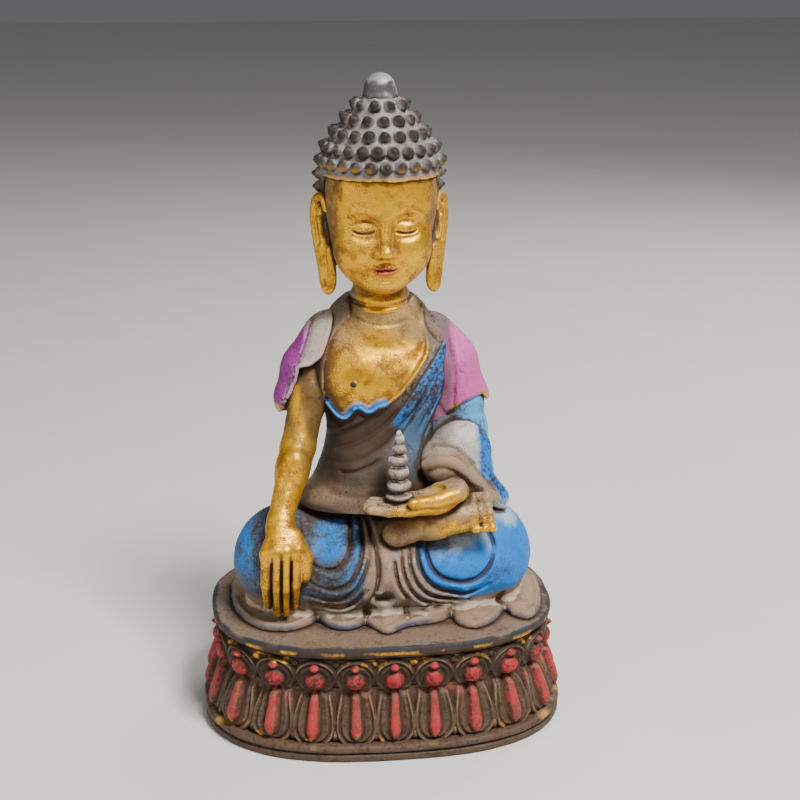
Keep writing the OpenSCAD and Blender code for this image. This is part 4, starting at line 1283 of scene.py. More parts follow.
def make_right_cape():
    clay = new_clay((-36, -11, 97), (-6, 15, COLLAR + 4), GRAIN * 0.9)
    clay.add(bone((-14, 3, 119), (-21.3, 3, 110), 10.6, 9.4))
    clay.add(bone((-21.3, 3, 110), (-25.2, 2.6, 101.5), 9.2, 7.6), 2)
    clay.add(egg((-25.6, 1.0, 103), (7.0, 7.4, 6.6)), 2)
    clay.cut(bone((-20, 0.5, 109), (-26.5, -9.6, 88), 6.0, 6.4), 0.8)
    clay.cut(egg((-16.5, -8, 102), (8.5, 7.5, 13.5), (0, 12, 0)), 1.0)
    clay.cut(egg((-22, 1.5, 92.5), (8.6, 9, 7.4)), 0.6)
    front = dict(lo=(-99, -99, 0), hi=(99, 3, 999))
    clay.lip(FLAP_EDGE, 0.0, 0.7, 4, **front)
    clay.crease(FLAP_EDGE, -0.6, 0.7, fade=0.05, **front)
    clay.crease(FLAP_BACK, 0.7, 0.6, fade=0.05, **front)
    clay.crease([(-25.4, 112.2), (-21.8, 113.4), (-18.4, 116.2)], 0.9, 0.7, fade=0.05, **front)
    clay.crease(STRIPE, 0.55, 0.55, fade=0.05, **front)
    for k in range(3):
        clay.crease([(13 - 3 * k, 121), (12 - 3 * k, 112), (11 - 3 * k, 102)], 0.45, 0.9, plane="yz",
                    lo=(-99, 3, 0), hi=(-19, 99, 999))
    clay.keep(lambda x, y, z: z - (COLLAR + 1.5) + 0 * x)
    edge = FLAP_EDGE + STRIPE[1:]
    clay.keep(lambda x, y, z: np.minimum(path_side(edge, x, z) - 0.5, 3.0 - y), 0.6)
    clay.rough(4.5, 0.12, 1)
    clay.rough(1.5, 0.05, 2)
    obj = clay_mesh("right_cape", clay)

    def paint(look, p, n):
        x, y, z = p.T
        patch = noise(x, y, z, 5, 3, 1)
        front = ramp(y, 6, 2)
        undercoat(look, tint=PURPLE, under=(0.12, 0.04, 0.11), bright=(0.55, 0.26, 0.52), rub=0.26)
        top = ramp(z + 2 * patch, 122.5, 127)
        coat(look, top, tint=(0.34, 0.27, 0.22), under=TAUPE_DARK, bright=CREAM)
        flap = front * ramp(inside(FLAP_EDGE + FLAP_BACK[1:], x, z, False), -0.4, 0.4)
        coat(look, flap, tint=(0.46, 0.39, 0.34), under=TAUPE, bright=WHITE, rub=0.16)
        look["dirt"] = look["dirt"] * (1 - 0.6 * flap)
        strip = 0.55 * front * bump_at(path_side(STRIPE, x + 0.7, z), 0.7) * ramp(z, 118, 115.5)
        coat(look, np.clip(1.4 * strip, 0, 1), tint=(0.42, 0.30, 0.34), under=TAUPE_DARK, bright=WHITE,
             rub=0.3)
        inner = front * ramp(path_side(STRIPE, x, z), 1.6, 2.8) * ramp(z, 114, 112)
        coat(look, inner, tint=TAUPE, under=TAUPE_DARK, bright=CREAM)
        hem = ramp(z - 0.06 * (x + 26) ** 2, 99.6, 98.4) + front * bump_at(path_side(FLAP_EDGE, x, z),
                                                                           0.7) * ramp(z, 127, 122)
        coat(look, np.clip(hem, 0, 1) * ramp(patch, -0.6, 0.1), tint=GOLD, under=GOLD_DARK,
             bright=GOLD_PALE, leaf=0.9)
    finish_piece(obj, ["right_cape"], paint)
    return clay


ELBOW = (-26.3, -8.6, 89)
WRIST = (-32.2, -18.6, 70.5)


def make_right_arm():
    clay = new_clay((-45, -37, SEAT + 1.0), (-10, 12, 121), FINE * 1.15)
    clay.add(bone((-19.6, 3, 114.5), ELBOW, 5.9, 5.3))
    clay.add(egg((-22.6, -1.5, 102), (5.8, 5.9, 8.6), (24, 12, 0)), 2)
    clay.add(bone(ELBOW, WRIST, 5.25, 3.9), 1.5)
    clay.add(egg((-28.2, -12, 83.5), (5.2, 5.2, 7.6), (26, 14, 0)), 2)
    # back of the hand, broad and flat
    wx, wy, wz = WRIST
    clay.add(egg((wx - 0.4, wy - 2.0, wz - 3), (4.5, 3.9, 5.0)), 2.5)
    knuckles = [(wx - 4.9, -26.6, 61.6), (wx - 2.1, -28.0, 62.8), (wx + 0.8, -28.2, 62.8),
                (wx + 3.6, -27.0, 61.8)]
    joints = [(wx - 5.3, -27.4, 52.2), (wx - 2.5, -29.2, 51.6), (wx + 0.4, -29.2, 51.4),
              (wx + 3.2, -27.6, 52.0)]
    tips = [(wx - 4.6, -22.8, 43.4), (wx - 2.1, -24.8, 41.6), (wx + 0.6, -24.6, 41.4),
            (wx + 3.0, -22.6, 42.6)]
    for k, j, t in zip(knuckles, joints, tips):
        clay.add(bone((wx + 0.35 * (k[0] - wx), wy - 4.4, wz - 4.5), k, 3.0, 2.35), 1.8)
        clay.add(bone(k, j, 1.95, 1.8), 1.0)
        clay.add(bone(j, t, 1.8, 1.4), 0.6)
    for k in range(3):
        gap = [((line[k][0] + line[k + 1][0]) / 2, line[k][2]) for line in (knuckles, joints, tips)]
        clay.crease(gap, 0.9, 0.42, lo=(-99, -99, 0), hi=(99, -20, 999), fade=0.2)
    thumb = [(wx + 3.4, -24.0, 65.6), (wx + 6.8, -26.2, 59.6), (wx + 6.4, -26.4, 53.6)]
    clay.add(bone(thumb[0], thumb[1], 2.7, 2.3), 2)
    clay.add(bone(thumb[1], thumb[2], 2.2, 1.7), 0.6)
    for t in tips + [thumb[2]]:
        clay.crease([(t[0] - 1.0, t[2] + 1.6), (t[0], t[2] + 2.2), (t[0] + 1.0, t[2] + 1.6)], 0.22, 0.3,
                    lo=(-99, -99, 0),
                    hi=(99, t[1] - 0.6, 999))
    clay.rough(4, 0.1, 1)
    clay.rough(1.4, 0.05, 2)
    obj = clay_mesh("right_arm", clay)

    def paint(look, p, n):
        x, y, z = p.T
        patch = noise(x, y, z, 6, 3, 1)
        undercoat(look, **GILT)
        upper = ramp(z + 4 * patch + 0.9 * (x + 28), 88, 99)
        streak = bump_at(x + 25.6 + 0.12 * (z - 95) + 0.6 * patch, 1.6) * ramp(y, -2, -6)
        coat(look, 0.9 * upper * (1 - 0.8 * streak), tint=(0.062, 0.036, 0.019), under=TAUPE_DARK,
             bright=TAUPE, leaf=0.1, rub=0.24)
        shade_side = ramp(x + 0.28 * (z - 70) + 24.6, 0.5, 6.0) * ramp(z, 70, 80) * (1 - upper)
        coat(look, 0.75 * shade_side, tint=(0.15, 0.09, 0.045), leaf=0.3)
        # dirt and painted shade over the fingers and in the gaps between them
        gaps = ramp(z, 58, 52)
        look["dirt"] = np.clip(look["dirt"] * (1 + 0.3 * gaps) + 0.12 * ramp(patch, 0, 0.9) + 0.16 * gaps,
                               0, 1)
    finish_piece(obj, ["right_arm", "right_hand"], paint, (0.9, 2.4))
    return clay


# ---- Left sleeve, cuff and hand ----

PINK_HEM = [(19.6, 97.4), (22.8, 99.5), (25.5, 101.6), (29.4, 102.8), (31.6, 103), (33.2, 100.6),
            (35.6, 98)]


def make_left_sleeve():
    clay = new_clay((6, -17, LAP - 1), (38, 15, COLLAR + 3), GRAIN * 0.9)
    clay.add(bone((15.5, 4.5, 118), (20.5, 3, 112), 9.8, 10))
    clay.add(bone((18, 1, 108), (18.5, -1, 90), 5.4, 5.6), 3)
    clay.add(bone((20.5, 3, 112), (25, 2.6, 101), 9.8, 8.8), 2)
    clay.add(bone((25, 2.6, 101), (26.8, 0.6, 91), 7.6, 7.0), 1)
    clay.add(bone((26.8, 0.6, 91), (27.8, -3, 80), 7.0, 6.8), 2)
    clay.add(egg((31, 0, 76), (5.0, 8, 7.5)), 3)
    front = dict(lo=(-99, -99, 0), hi=(99, 99, 999), fade=0.05)
    clay.lip(PINK_HEM, 0.9, 0.7, 7, **front)
    clay.crease([(x, z - 1.0) for x, z in PINK_HEM], 0.7, 0.55, **front)
    clay.crease([(21.4, 121), (22, 115), (22.4, 108.6), (22.2, 99)], 0.9, 0.7, lo=(-99, -99, 0),
                hi=(99, 4, 999))
    for line in ([(26, 98), (27.4, 92), (26, 86)], [(31.4, 99), (32.2, 91), (31, 82)]):
        clay.crease(line, 0.3, 0.9, lo=(-99, -99, 0), hi=(99, 2, 999))
    for k in range(4):
        clay.crease([(14 - 3 * k, 122), (12 - 3 * k, 113), (11 - 3 * k, 106)], 0.4, 0.9, plane="yz",
                    lo=(18, 2, 0), hi=(99, 99, 999))
        clay.crease([(12 - 3 * k, 101), (9 - 3 * k, 92), (5 - 3 * k, 80)], 0.6, 1.0, plane="yz",
                    lo=(24, 1, 0), hi=(99, 99, 999))
    clay.keep(lambda x, y, z: z - (COLLAR + 1.5) + 0 * x)
    clay.keep(lambda x, y, z: LAP - 0.5 - z + 0 * x)
    clay.rough(4.5, 0.12, 1)
    clay.rough(1.5, 0.05, 2)
    obj = clay_mesh("left_sleeve", clay)

    def paint(look, p, n):
        x, y, z = p.T
        patch, streak = noise(x, y, z, 5, 3, 1), noise(x, y, z, 1.6, 3, 2)
        above = ramp(path_side(PINK_HEM, x, z), -0.3, 0.3)
        undercoat(look, tint=(0.10, 0.36, 0.72), under=(0.10, 0.15, 0.20), bright=BLUE_PALE, rub=0.24)
        dark = ramp(x + 1.5 * patch, 27, 22) * 0.95
        coat(look, dark, tint=(0.10, 0.12, 0.125), under=PATINA)
        coat(look, above, tint=PINK, under=(0.30, 0.10, 0.24), bright=(0.78, 0.42, 0.66), rub=0.25)
        coat(look, above * ramp(z + 2 * patch, 121, 126), tint=(0.25, 0.185, 0.15), under=TAUPE_DARK)
        gold = bump_at(path_side(PINK_HEM, x, z) - 0.3, 0.75) * ramp(patch + streak * 0.5, -0.6, 0.0)
        coat(look, gold, tint=GOLD, under=GOLD_DARK, bright=GOLD_PALE, leaf=0.9)
        shadow = ramp(x, 22.6, 20.8) * above
        coat(look, 0.8 * shadow, tint=(0.14, 0.08, 0.11))
    finish_piece(obj, ["left_sleeve"], paint)
    return clay


CUFF_FOLD = [(12.6, 86), (15.5, 88.2), (21.3, 87.0), (25.6, 83.2), (29.2, 78.6), (34.6, 72)]


def make_left_cuff():
    clay = new_clay((10, -31, LAP - 7), (42, 4, 101), GRAIN * 0.85)
    # the wide mouth of the sleeve, which the forearm comes out of, and the drape that falls over the thigh
    clay.add(bone((26.5, -4.4, 85), (17.0, -11.6, 84), 8.0, 6.4))
    clay.add(egg((23.4, -7.0, 88.2), (7.6, 7.0, 6.8), (10, -14, 0)), 5)
    clay.add(bone((17.5, -17.5, 81), (27, -14.0, 76.5), 3.9, 3.8), 4)
    clay.add(bone((28, -9, 78), (36.5, -7.5, 70), 5.6, 3.6), 5)
    ribbon = smooth_path([(12.6, -17.0, 84.6), (16.6, -18.6, 86.2), (21, -18.8, 85.2), (24.8, -18.2, 81.4),
                          (29.0, -16.0, 76.6),
                          (33.8, -13.2, 71.6), (37, -11, 69)], 3)
    for a, b in zip(ribbon[:-1], ribbon[1:]):
        clay.add(bone(a, b, 1.9, 1.9), 0.7)
    front = dict(lo=(-99, -99, 0), hi=(99, 99, 999), fade=0.08)
    clay.crease([(x + 0.5, z + 1.6) for x, z in CUFF_FOLD], 0.5, 0.7, **front)
    clay.crease([(19.5, 93), (23, 91.0), (28.6, 86.4)], 0.3, 1.1, **front)
    clay.rough(4.5, 0.12, 1)
    clay.rough(1.5, 0.05, 2)
    clay.keep(lambda x, y, z: LAP - 6 - z + 0 * x)
    obj = clay_mesh("left_cuff", clay)

    def paint(look, p, n):
        x, y, z = p.T
        patch = noise(x, y, z, 5, 3, 1)
        undercoat(look, tint=CREAM, under=TAUPE, bright=WHITE, rub=0.18)
        fold = path_side(CUFF_FOLD, x, z)
        mouth = ramp(fold + 0.6 * patch, 1.0, 2.0)
        coat(look, mouth, tint=(0.52, 0.49, 0.47), under=TAUPE, bright=WHITE, rub=0.14)
        grey = mouth * ramp(x + 0.35 * (z - 90) + 2 * patch, 26.5, 19.5)
        coat(look, grey, tint=(0.24, 0.20, 0.17), under=TAUPE_DARK, bright=CREAM)
        blue = mouth * ramp(x + 0.4 * patch, 28.0, 30.5)
        coat(look, blue, tint=BLUE, under=BLUE_DARK, bright=BLUE_PALE, rub=0.3)
        inner = ramp(-fold, 3.4, 5.2)
        coat(look, inner, tint=TAUPE, under=TAUPE_DARK, bright=CREAM)
        coat(look, ramp(z, LAP + 2.5, LAP) * ramp(x, 28, 33), tint=(0.42, 0.46, 0.52), bright=BLUE_PALE)
    finish_piece(obj, ["left_cuff"], paint)
    return clay


def make_left_hand():
    clay = new_clay((-11, -36, LAP - 1), (27, -12, 85), FINE * 1.1)
    z = 76.0
    clay.add(bone((20, -20, z + 2.6), (14, -23.5, z + 0.2), 4.4, 4.4, ("z", 0.75)))
    clay.add(egg((10.5, -25, z - 0.6), (9.6, 6.6, 3.3)), 2)
    clay.add(bone((21, -24.5, z + 2.4), (14, -28.5, z + 0.6), 3.6, 3.2, ("z", 0.85)), 2)
    for i in range(4):
        y0, y1 = -29.6 + 2.6 * i, -29.0 + 2.5 * i
        reach = (0.8, 0, 0.6, 1.8)[i]
        clay.add(bone((6, y0, z - 1.2), (-0.5, y1, z - 1.4), 1.95, 1.75), 1.4)
        clay.add(bone((-0.5, y1, z - 1.4), (-6.6 + reach, y1, z - 0.7), 1.75, 1.45), 0.5)
    # the thumb lies along the front, pointing in to the pagoda
    clay.add(bone((20.6, -29.0, z + 3.4), (13.4, -31.4, z + 2.2), 2.6, 2.2), 1.2)
    clay.add(bone((13.4, -31.4, z + 2.2), (6.4, -31.8, z + 1.8), 2.1, 1.55), 0.5)
    clay.cut(egg((10.5, -25.2, z + 3.6), (6.4, 3.6, 2.6)), 1.2)
    clay.cut(Shape((-2, -32, z + 1), (9, -20, 99), lambda x, y,
                   z1: np.maximum(np.hypot(x - 3, y + 25) - 4.4, 77.0 - z1)), 0.3)
    for i in range(3):
        y = -28.2 + 2.55 * i
        clay.crease([(5, y), (-6, y + 0.1)], 0.5, 0.4, plane="xy", lo=(-99, -99, z - 3), hi=(99, 99, 99),
                    fade=0.1)
    clay.rough(4, 0.1, 1)
    clay.rough(1.4, 0.05, 2)
    obj = clay_mesh("left_hand", clay)

    def paint(look, p, n):
        x, y, zz = p.T
        patch = noise(x, y, zz, 5, 3, 1)
        undercoat(look, **GILT)
        up = ramp(n[:, 2], 0.2, 0.8)
        palm = up * ramp(y, -31.2, -29.6)
        coat(look, 0.85 * palm, tint=(0.33, 0.25, 0.17), under=TAUPE_DARK, bright=CREAM, leaf=0.1, rub=0.24)
        tips = ramp(x, 2, -2)
        coat(look, 0.7 * tips, tint=(0.36, 0.27, 0.18), leaf=0.15, bright=CREAM)
        rear = ramp(x, 16, 21) * ramp(zz, 77, 79)
        coat(look, 0.5 * rear, tint=CREAM, leaf=0.3)
        look["dirt"] = np.clip(look["dirt"] + 0.12 * ramp(patch, 0, 0.9) + 0.1 * palm, 0, 1)
    finish_piece(obj, ["left_hand"], paint, (0.8, 2.2))
    return clay


def make_pagoda():
    """A small tower of stacked, rounded roofs."""
    foot, top = 77.02, 98.5
    height = top - foot
    clay = new_clay((-3.5, -31.5, foot - 4), (9.5, -18.5, top + 1), FINE)
    cx, cy = 3.0, -25.0
    clay.add(bone((cx, cy, foot - 3), (cx, cy, foot + 1), 1.15, 1.15))
    for share, r, thick in ((0.045, 4.15, 1.5), (0.20, 3.75, 2.1), (0.40, 3.35, 2.2), (0.575, 3.05, 2.0),
                            (0.735, 2.25, 1.7),
                            (0.865, 1.55, 1.5)):
        clay.add(egg((cx + 0.12 * math.sin(9 * share), cy, foot + share * height), (r, r, thick)), 0.7)
    clay.add(bone((cx, cy, foot), (cx, cy, top - 2.4), 2.1, 0.8), 0.5)
    clay.add(egg((cx, cy, top - 1.1), (0.9, 0.9, 1.1)), 0.5)
    clay.rough(1.8, 0.28, 1)
    clay.rough(0.9, 0.1, 2)
    clay.keep(lambda x, y, z: foot - 3 - z + 0 * x)
    obj = clay_mesh("pagoda", clay)

    def paint(look, p, n):
        undercoat(look, tint=(0.44, 0.37, 0.34), under=(0.20, 0.13, 0.10), bright=(0.80, 0.74, 0.70),
                  rub=0.26)
        lit = ramp(n[:, 2], -0.2, 0.7)
        coat(look, 0.75 * (1 - lit), tint=(0.17, 0.115, 0.085))
        look["wear"] = np.clip(look["wear"] + 0.4 * lit, 0, 1)
        look["dirt"] = np.clip(look["dirt"] * 1.1 + 0.2 * ramp(p[:, 2], 82, 78), 0, 1)
    finish_piece(obj, ["pagoda"], paint, (0.7, 1.8))
    return clay


def make_right_foot():
    clay = new_clay((-11, -33, 57), (40, -8, 78), FINE * 1.2)
    clay.add(bone((3.0, -21.5, 64.2), (14, -23.6, 67.6), 3.3, 4.3))
    clay.add(bone((14, -23.6, 67.6), (26.0, -23.2, 70.4), 4.3, 4.6), 2)
    clay.add(egg((2.6, -21.6, 64.4), (4.3, 4.2, 3.5)), 2)
    clay.add(egg((20, -21.5, 70.6), (8, 5.4, 4.4), (0, -8, 0)), 2)
    clay.crease([(8, 62), (12, 66.8), (13, 71.6)], 0.5, 1.2, lo=(-99, -99, 0), hi=(99, 0, 99))
    for i in range(5):
        z = 67.2 + 1.95 * i
        y = -27.4 + 1.3 * i
        size = (1.15, 1.2, 1.25, 1.35, 1.75)[i] * 1.12
        clay.add(bone((26.0, y, z), (31.4 - 0.3 * i, y - 0.6, z + 0.3), size, size * 0.95), 0.35)
        clay.add(egg((31.2 - 0.3 * i, y - 0.9, z + 0.35), size * 1.08), 0.3)
    clay.crease([(27.4, 65), (27.8, 69), (27.2, 74.5), (26.4, 77)], 0.5, 0.5, lo=(-99, -99, 0),
                hi=(99, -16, 99))
    clay.rough(4, 0.12, 1)
    clay.rough(1.4, 0.05, 2)
    obj = clay_mesh("right_foot", clay)

    def paint(look, p, n):
        x, y, z = p.T
        patch = noise(x, y, z, 5, 3, 1)
        undercoat(look, tint=(0.46, 0.29, 0.10), under=TAUPE_DARK, bright=GOLD_PALE, leaf=0.55, rub=0.16)
        gold = ramp(x + 3 * patch, 11, 17) * ramp(z + 2 * patch - 0.1 * x, 68.5, 65.5)
        coat(look, gold, **GILT)
        heel = ramp(x + 2 * patch, 10, 4)
        coat(look, 0.8 * heel, tint=(0.24, 0.155, 0.092), leaf=0.15, bright=CREAM)
        top = ramp(z - 0.16 * x + patch, 66.8, 69)
        coat(look, 0.65 * top, tint=(0.36, 0.26, 0.165), leaf=0.15)
    finish_piece(obj, ["right_foot"], paint, (0.8, 2.2))
    return clay


# ---- Neck, head and ears ----


def make_neck():
    clay = new_clay((-13, -13, COLLAR - 2), (13, 13, CHIN + 5), FINE * 1.2)
    clay.add(loft([(COLLAR - 1.5, 7.6, 7.4, 0, 0.3), (COLLAR + 1.5, 8.8, 8.8, 0, 0),
                   (COLLAR + 4, 8.5, 8.5, 0, 0),
                   (CHIN, 8.2, 8, 0, 0), (CHIN + 4, 8.4, 8.2, 0, 0)], 2.0))
    for z in (COLLAR + 1.0, COLLAR + 4.4):
        clay.swell(lambda x, y, zz: 0.75 * np.exp(-((zz - z - 0.06 * np.abs(x) ** 1.2) / 1.25) ** 2) + 0
                   * x * y)
    clay.swell(lambda x, y, zz: -0.45 * np.exp(-((zz - COLLAR - 2.7 - 0.06 * np.abs(x) ** 1.2) / 0.5) ** 2)
               + 0 * x * y)
    clay.rough(4, 0.1, 1)
    obj = clay_mesh("neck", clay)

    def paint(look, p, n):
        x, y, z = p.T
        patch = noise(x, y, z, 5, 3, 1)
        undercoat(look, **GILT)
        # painted shade: the sides and back of the neck are painted a darker, duller brown
        side = ramp(np.abs(x) + 2 * patch, 4.5, 8.5) + ramp(y, -4, 0)
        coat(look, 0.85 * np.clip(side, 0, 1), tint=(0.30, 0.22, 0.15), under=TAUPE_DARK, leaf=0.1,
             bright=CREAM)
        look["dirt"] = np.clip(look["dirt"] * 0.9, 0, 1)
    finish_piece(obj, ["neck"], paint)
    return clay


# Face: hairline, brow, nose and chin a third apart, the head five eyes wide, eyes an eye's width apart
FACE_H = 34.5
HAIRLINE = CHIN + FACE_H
THIRD = FACE_H / 3
BROW = CHIN + 2 * THIRD
NOSE = CHIN + THIRD
MOUTH = NOSE - THIRD / 3
EYES = BROW - 0.22 * THIRD
EYE_W = 6.3
FACE_HALF = 2.5 * EYE_W                  # half the width of the head at the cheekbones
JAW_HALF = 0.875 * FACE_HALF
MOUTH_HALF = 0.68 * EYE_W


def make_head():
    clay = new_clay((-18, -24, CHIN - 0.8), (18, 17, CROWN - 3), FINE)
    clay.add(loft([(CHIN + 1, 9, 9, 0, 0), (CHIN + 8, 13.6, 13.5, 0, -1),
                   (CHIN + 18, FACE_HALF, 15.2, 0, HEAD_Y + 1),
                   (CHIN + 34, FACE_HALF, 15.6, 0, HEAD_Y), (CHIN + 42, 13.4, 13.4, 0, HEAD_Y),
                   (CHIN + 49, 8.4, 8.4, 0, HEAD_Y),
                   (CROWN - 5, 4, 4, 0, HEAD_Y)], 2.0))
    clay.add(egg((0, -6.4, BROW + 4.5), (FACE_HALF, 11.9, 17.5)), 4)
    clay.add(egg((0, -7.4, CHIN + 11.5), (JAW_HALF, 10.1, 12.2)), 3)
    clay.add(egg((0, -12.6, CHIN + 3.6), (5.2, 4.6, 4.0)), 4)
    for s in (-1, 1):
        clay.add(egg((s * 7.6, -11.4, NOSE + 1.6), (6.0, 5.8, 6.6)), 4)
    clay.keep(lambda x, y, z: CHIN + 0.02 - z + 0 * x)
    sockets(clay)
    nose_and_mouth(clay)
    clay.rough(5, 0.06, 1)
    clay.rough(1.4, 0.035, 2)
    obj = clay_mesh("head", clay)
    finish_piece(obj, ["head"], paint_head, (0.8, 2.2))
    return clay


def sockets(clay):
    front = dict(lo=(-99, -99, 0), hi=(99, -4, 999))
    for s in (-1, 1):
        ex = s * EYE_W
        y = front_y(clay, ex, EYES)
        clay.cut(egg((ex, y - 0.9, EYES + 0.2), (5.2, 2.3, 3.3), (0, 0, s * 14)), 2.2)
    for s in (-1, 1):
        ex = s * EYE_W
        y = front_y(clay, ex, EYES)
        clay.add(egg((ex, y + 1.25, EYES - 0.5), (4.0, 2.5, 2.55), (0, 0, s * 12)), 0.9)
        w = 0.58 * EYE_W
        slit = [(ex - w, EYES - 1.1), (ex - 0.4 * w, EYES - 1.75), (ex + 0.4 * w, EYES - 1.75),
                (ex + w, EYES - 0.9)]
        if s < 0:
            slit = [(ex - w, EYES - 0.9), (ex - 0.4 * w, EYES - 1.75), (ex + 0.4 * w, EYES - 1.75),
                    (ex + w, EYES - 1.1)]
        clay.crease(slit, 0.55, 0.3, fade=0.12, **front)
        clay.crease([(x, z - 0.75) for x, z in slit], -0.22, 0.4, **front)
        lid = [(ex - w, EYES + 0.6), (ex - 0.4 * w, EYES + 1.7), (ex + 0.4 * w, EYES + 1.7),
               (ex + w, EYES + 0.6)]
        clay.crease(lid, 0.3, 0.35, fade=0.2, **front)
        brow = [(s * 2.2, BROW + 0.5), (s * 4.8, BROW + 2.2), (s * 8.4, BROW + 2.5), (s * 12.4, BROW - 0.4)]
        clay.crease(brow, -0.4, 0.75, fade=0.3, **front)


def nose_and_mouth(clay):
    front = dict(lo=(-99, -99, 0), hi=(99, -4, 999))
    root_y = front_y(clay, 0, BROW)
    base_y = front_y(clay, 0, NOSE)
    clay.add(bone((0, root_y + 1.3, BROW + 0.6), (0, base_y - 1.9, NOSE + 2.0), 1.5, 1.75), 1.6)
    clay.add(egg((0, base_y - 2.1, NOSE + 1.7), (2.15, 1.9, 1.7)), 0.9)
    for s in (-1, 1):
        clay.add(egg((s * 2.35, base_y - 0.7, NOSE + 1.2), (1.35, 1.7, 1.3)), 0.6)
        clay.cut(egg((s * 1.15, base_y - 1.9, NOSE + 0.1), (0.55, 0.8, 0.5)), 0.3)
        clay.crease([(s * 3.9, NOSE + 1.4), (s * 5.2, NOSE - 1.6), (s * 5.9, MOUTH - 0.6)], 0.12, 0.9,
                    fade=0.35, **front)
    clay.crease([(0, NOSE - 0.4), (0, MOUTH + 1.9)], 0.14, 0.6, fade=0.2, **front)
    lip_y = front_y(clay, 0, MOUTH)
    w = MOUTH_HALF
    for s in (-1, 1):
        clay.add(bone((s * 0.9, lip_y - 0.1, MOUTH + 0.85), (s * w, lip_y + 1.35, MOUTH + 0.25), 0.95,
                      0.35), 0.5)
    clay.add(bone((-1.7, lip_y + 0.1, MOUTH - 1.0), (1.7, lip_y + 0.1, MOUTH - 1.0), 1.0, 1.0), 0.7)
    line = [(-w - 0.3, MOUTH + 0.35), (-1.6, MOUTH - 0.1), (0, MOUTH + 0.05), (1.6, MOUTH - 0.1),
            (w + 0.3, MOUTH + 0.35)]
    clay.crease(line, 0.32, 0.34, fade=0.06, **front)
    clay.crease([(-2.4, MOUTH - 2.9), (0, MOUTH - 3.2), (2.4, MOUTH - 2.9)], 0.45, 0.7, fade=0.3, **front)


def paint_head(look, p, n):
    x, y, z = p.T
    patch = noise(x, y, z, 6, 3, 1)
    undercoat(look, **GILT)
    behind = ramp(y, -8, -3) + ramp(z, HAIRLINE - 1, HAIRLINE + 3)
    coat(look, np.clip(behind, 0, 1), tint=(0.24, 0.17, 0.12), under=TAUPE_DARK, leaf=0.1)
    # painted shade: the sides of the head are painted a darker, duller gold, with more dirt and shade towards
    # them
    side = ramp(np.abs(x) + 1.5 * patch, 12.0, 15.5)
    coat(look, 0.6 * side, tint=(0.34, 0.22, 0.10), leaf=0.4)
    look["dirt"] = np.clip(look["dirt"] + 0.35 * ramp(np.abs(x) + 1.5 * patch, 9.5, 14.5), 0, 1)
    front = y < -12
    lips = front * ramp(np.sqrt((x / MOUTH_HALF) ** 2 + ((z - MOUTH + 0.05) / 1.75) ** 2), 1.0, 0.75)
    coat(look, 0.85 * lips, tint=LIP, leaf=0.2, rub=0.0, bright=GOLD)
    # painted shade under the chin
    under_chin = ramp(z, CHIN + 2.4, CHIN + 0.6)
    look["dirt"] = np.clip(0.85 * look["dirt"] + 0.3 * under_chin + 0.10 * ramp(patch, 0, 0.9), 0, 1)


def make_ears():
    clay = new_clay((-24, -11, CHIN - 3), (24, 6, CHIN + 31), FINE)
    loop = smooth_path([(16.2, -6.2, CHIN + 24.5), (17.2, -4.4, CHIN + 27.4), (18.8, -1.8, CHIN + 27.0),
                        (19.7, -0.2, CHIN + 23.4),
                        (19.5, -0.2, CHIN + 18), (18.7, -1.4, CHIN + 12), (17.7, -3.0, CHIN + 5.6),
                        (16.9, -4.6, CHIN + 0.6),
                        (16.0, -5.4, CHIN - 0.4), (14.9, -5.4, CHIN + 1.6), (15.0, -5.2, CHIN + 7),
                        (15.4, -5.4, CHIN + 12)], 4)
    for s in (-1, 1):
        flip = np.array([s, 1, 1])
        for a, b in zip(loop[:-1], loop[1:]):
            clay.add(bone(a * flip, b * flip, 1.25, 1.25), 0.4)
        clay.add(bone(np.array((17.2, -1.0, CHIN + 23)) * flip, np.array((16.4, -2.6, CHIN + 12)) * flip,
                      2.3, 1.8), 1)
        clay.add(bone(np.array((17.2, -2.6, CHIN + 12)) * flip, np.array((16.0, -4.4, CHIN + 2.0)) * flip,
                      1.6, 1.3), 1)
        clay.add(bone(np.array((18.2, -2.8, CHIN + 21)) * flip, np.array((17.3, -4.2, CHIN + 15.0)) * flip,
                      0.9, 0.8), 0.5)
        clay.cut(egg(np.array((17.0, -5.4, CHIN + 17.5)) * flip, (1.3, 2.0, 2.8)), 0.6)
    clay.rough(3, 0.08, 1)
    obj = clay_mesh("ears", clay)

    def paint(look, p, n):
        patch = noise(*p.T, 4, 3, 1)
        undercoat(look, **GILT)
        rear = ramp(p[:, 1] + patch, -1.0, 1.6)
        coat(look, 0.8 * rear, tint=(0.30, 0.20, 0.12), leaf=0.2)
        look["dirt"] = np.clip(look["dirt"] * 1.1 + 0.12 * ramp(patch, 0, 0.8), 0, 1)
    finish_piece(obj, ["ears"], paint, (0.7, 1.8))
    return clay


# ---- Hair and crown jewel ----

HEAD_H = CROWN - CHIN
CURL = 1.95


def hair_radius(z):
    """Radius of the hair without its curls."""
    rows = smooth_path([(4, 14.6), (18, 17.0), (30, 17.8), (37, 17.6), (43, 15.8), (47, 12.9), (51, 9.6),
                        (55, 6.6), (59, 4.2)])
    return np.interp(z - CHIN, rows[:, 0], rows[:, 1])


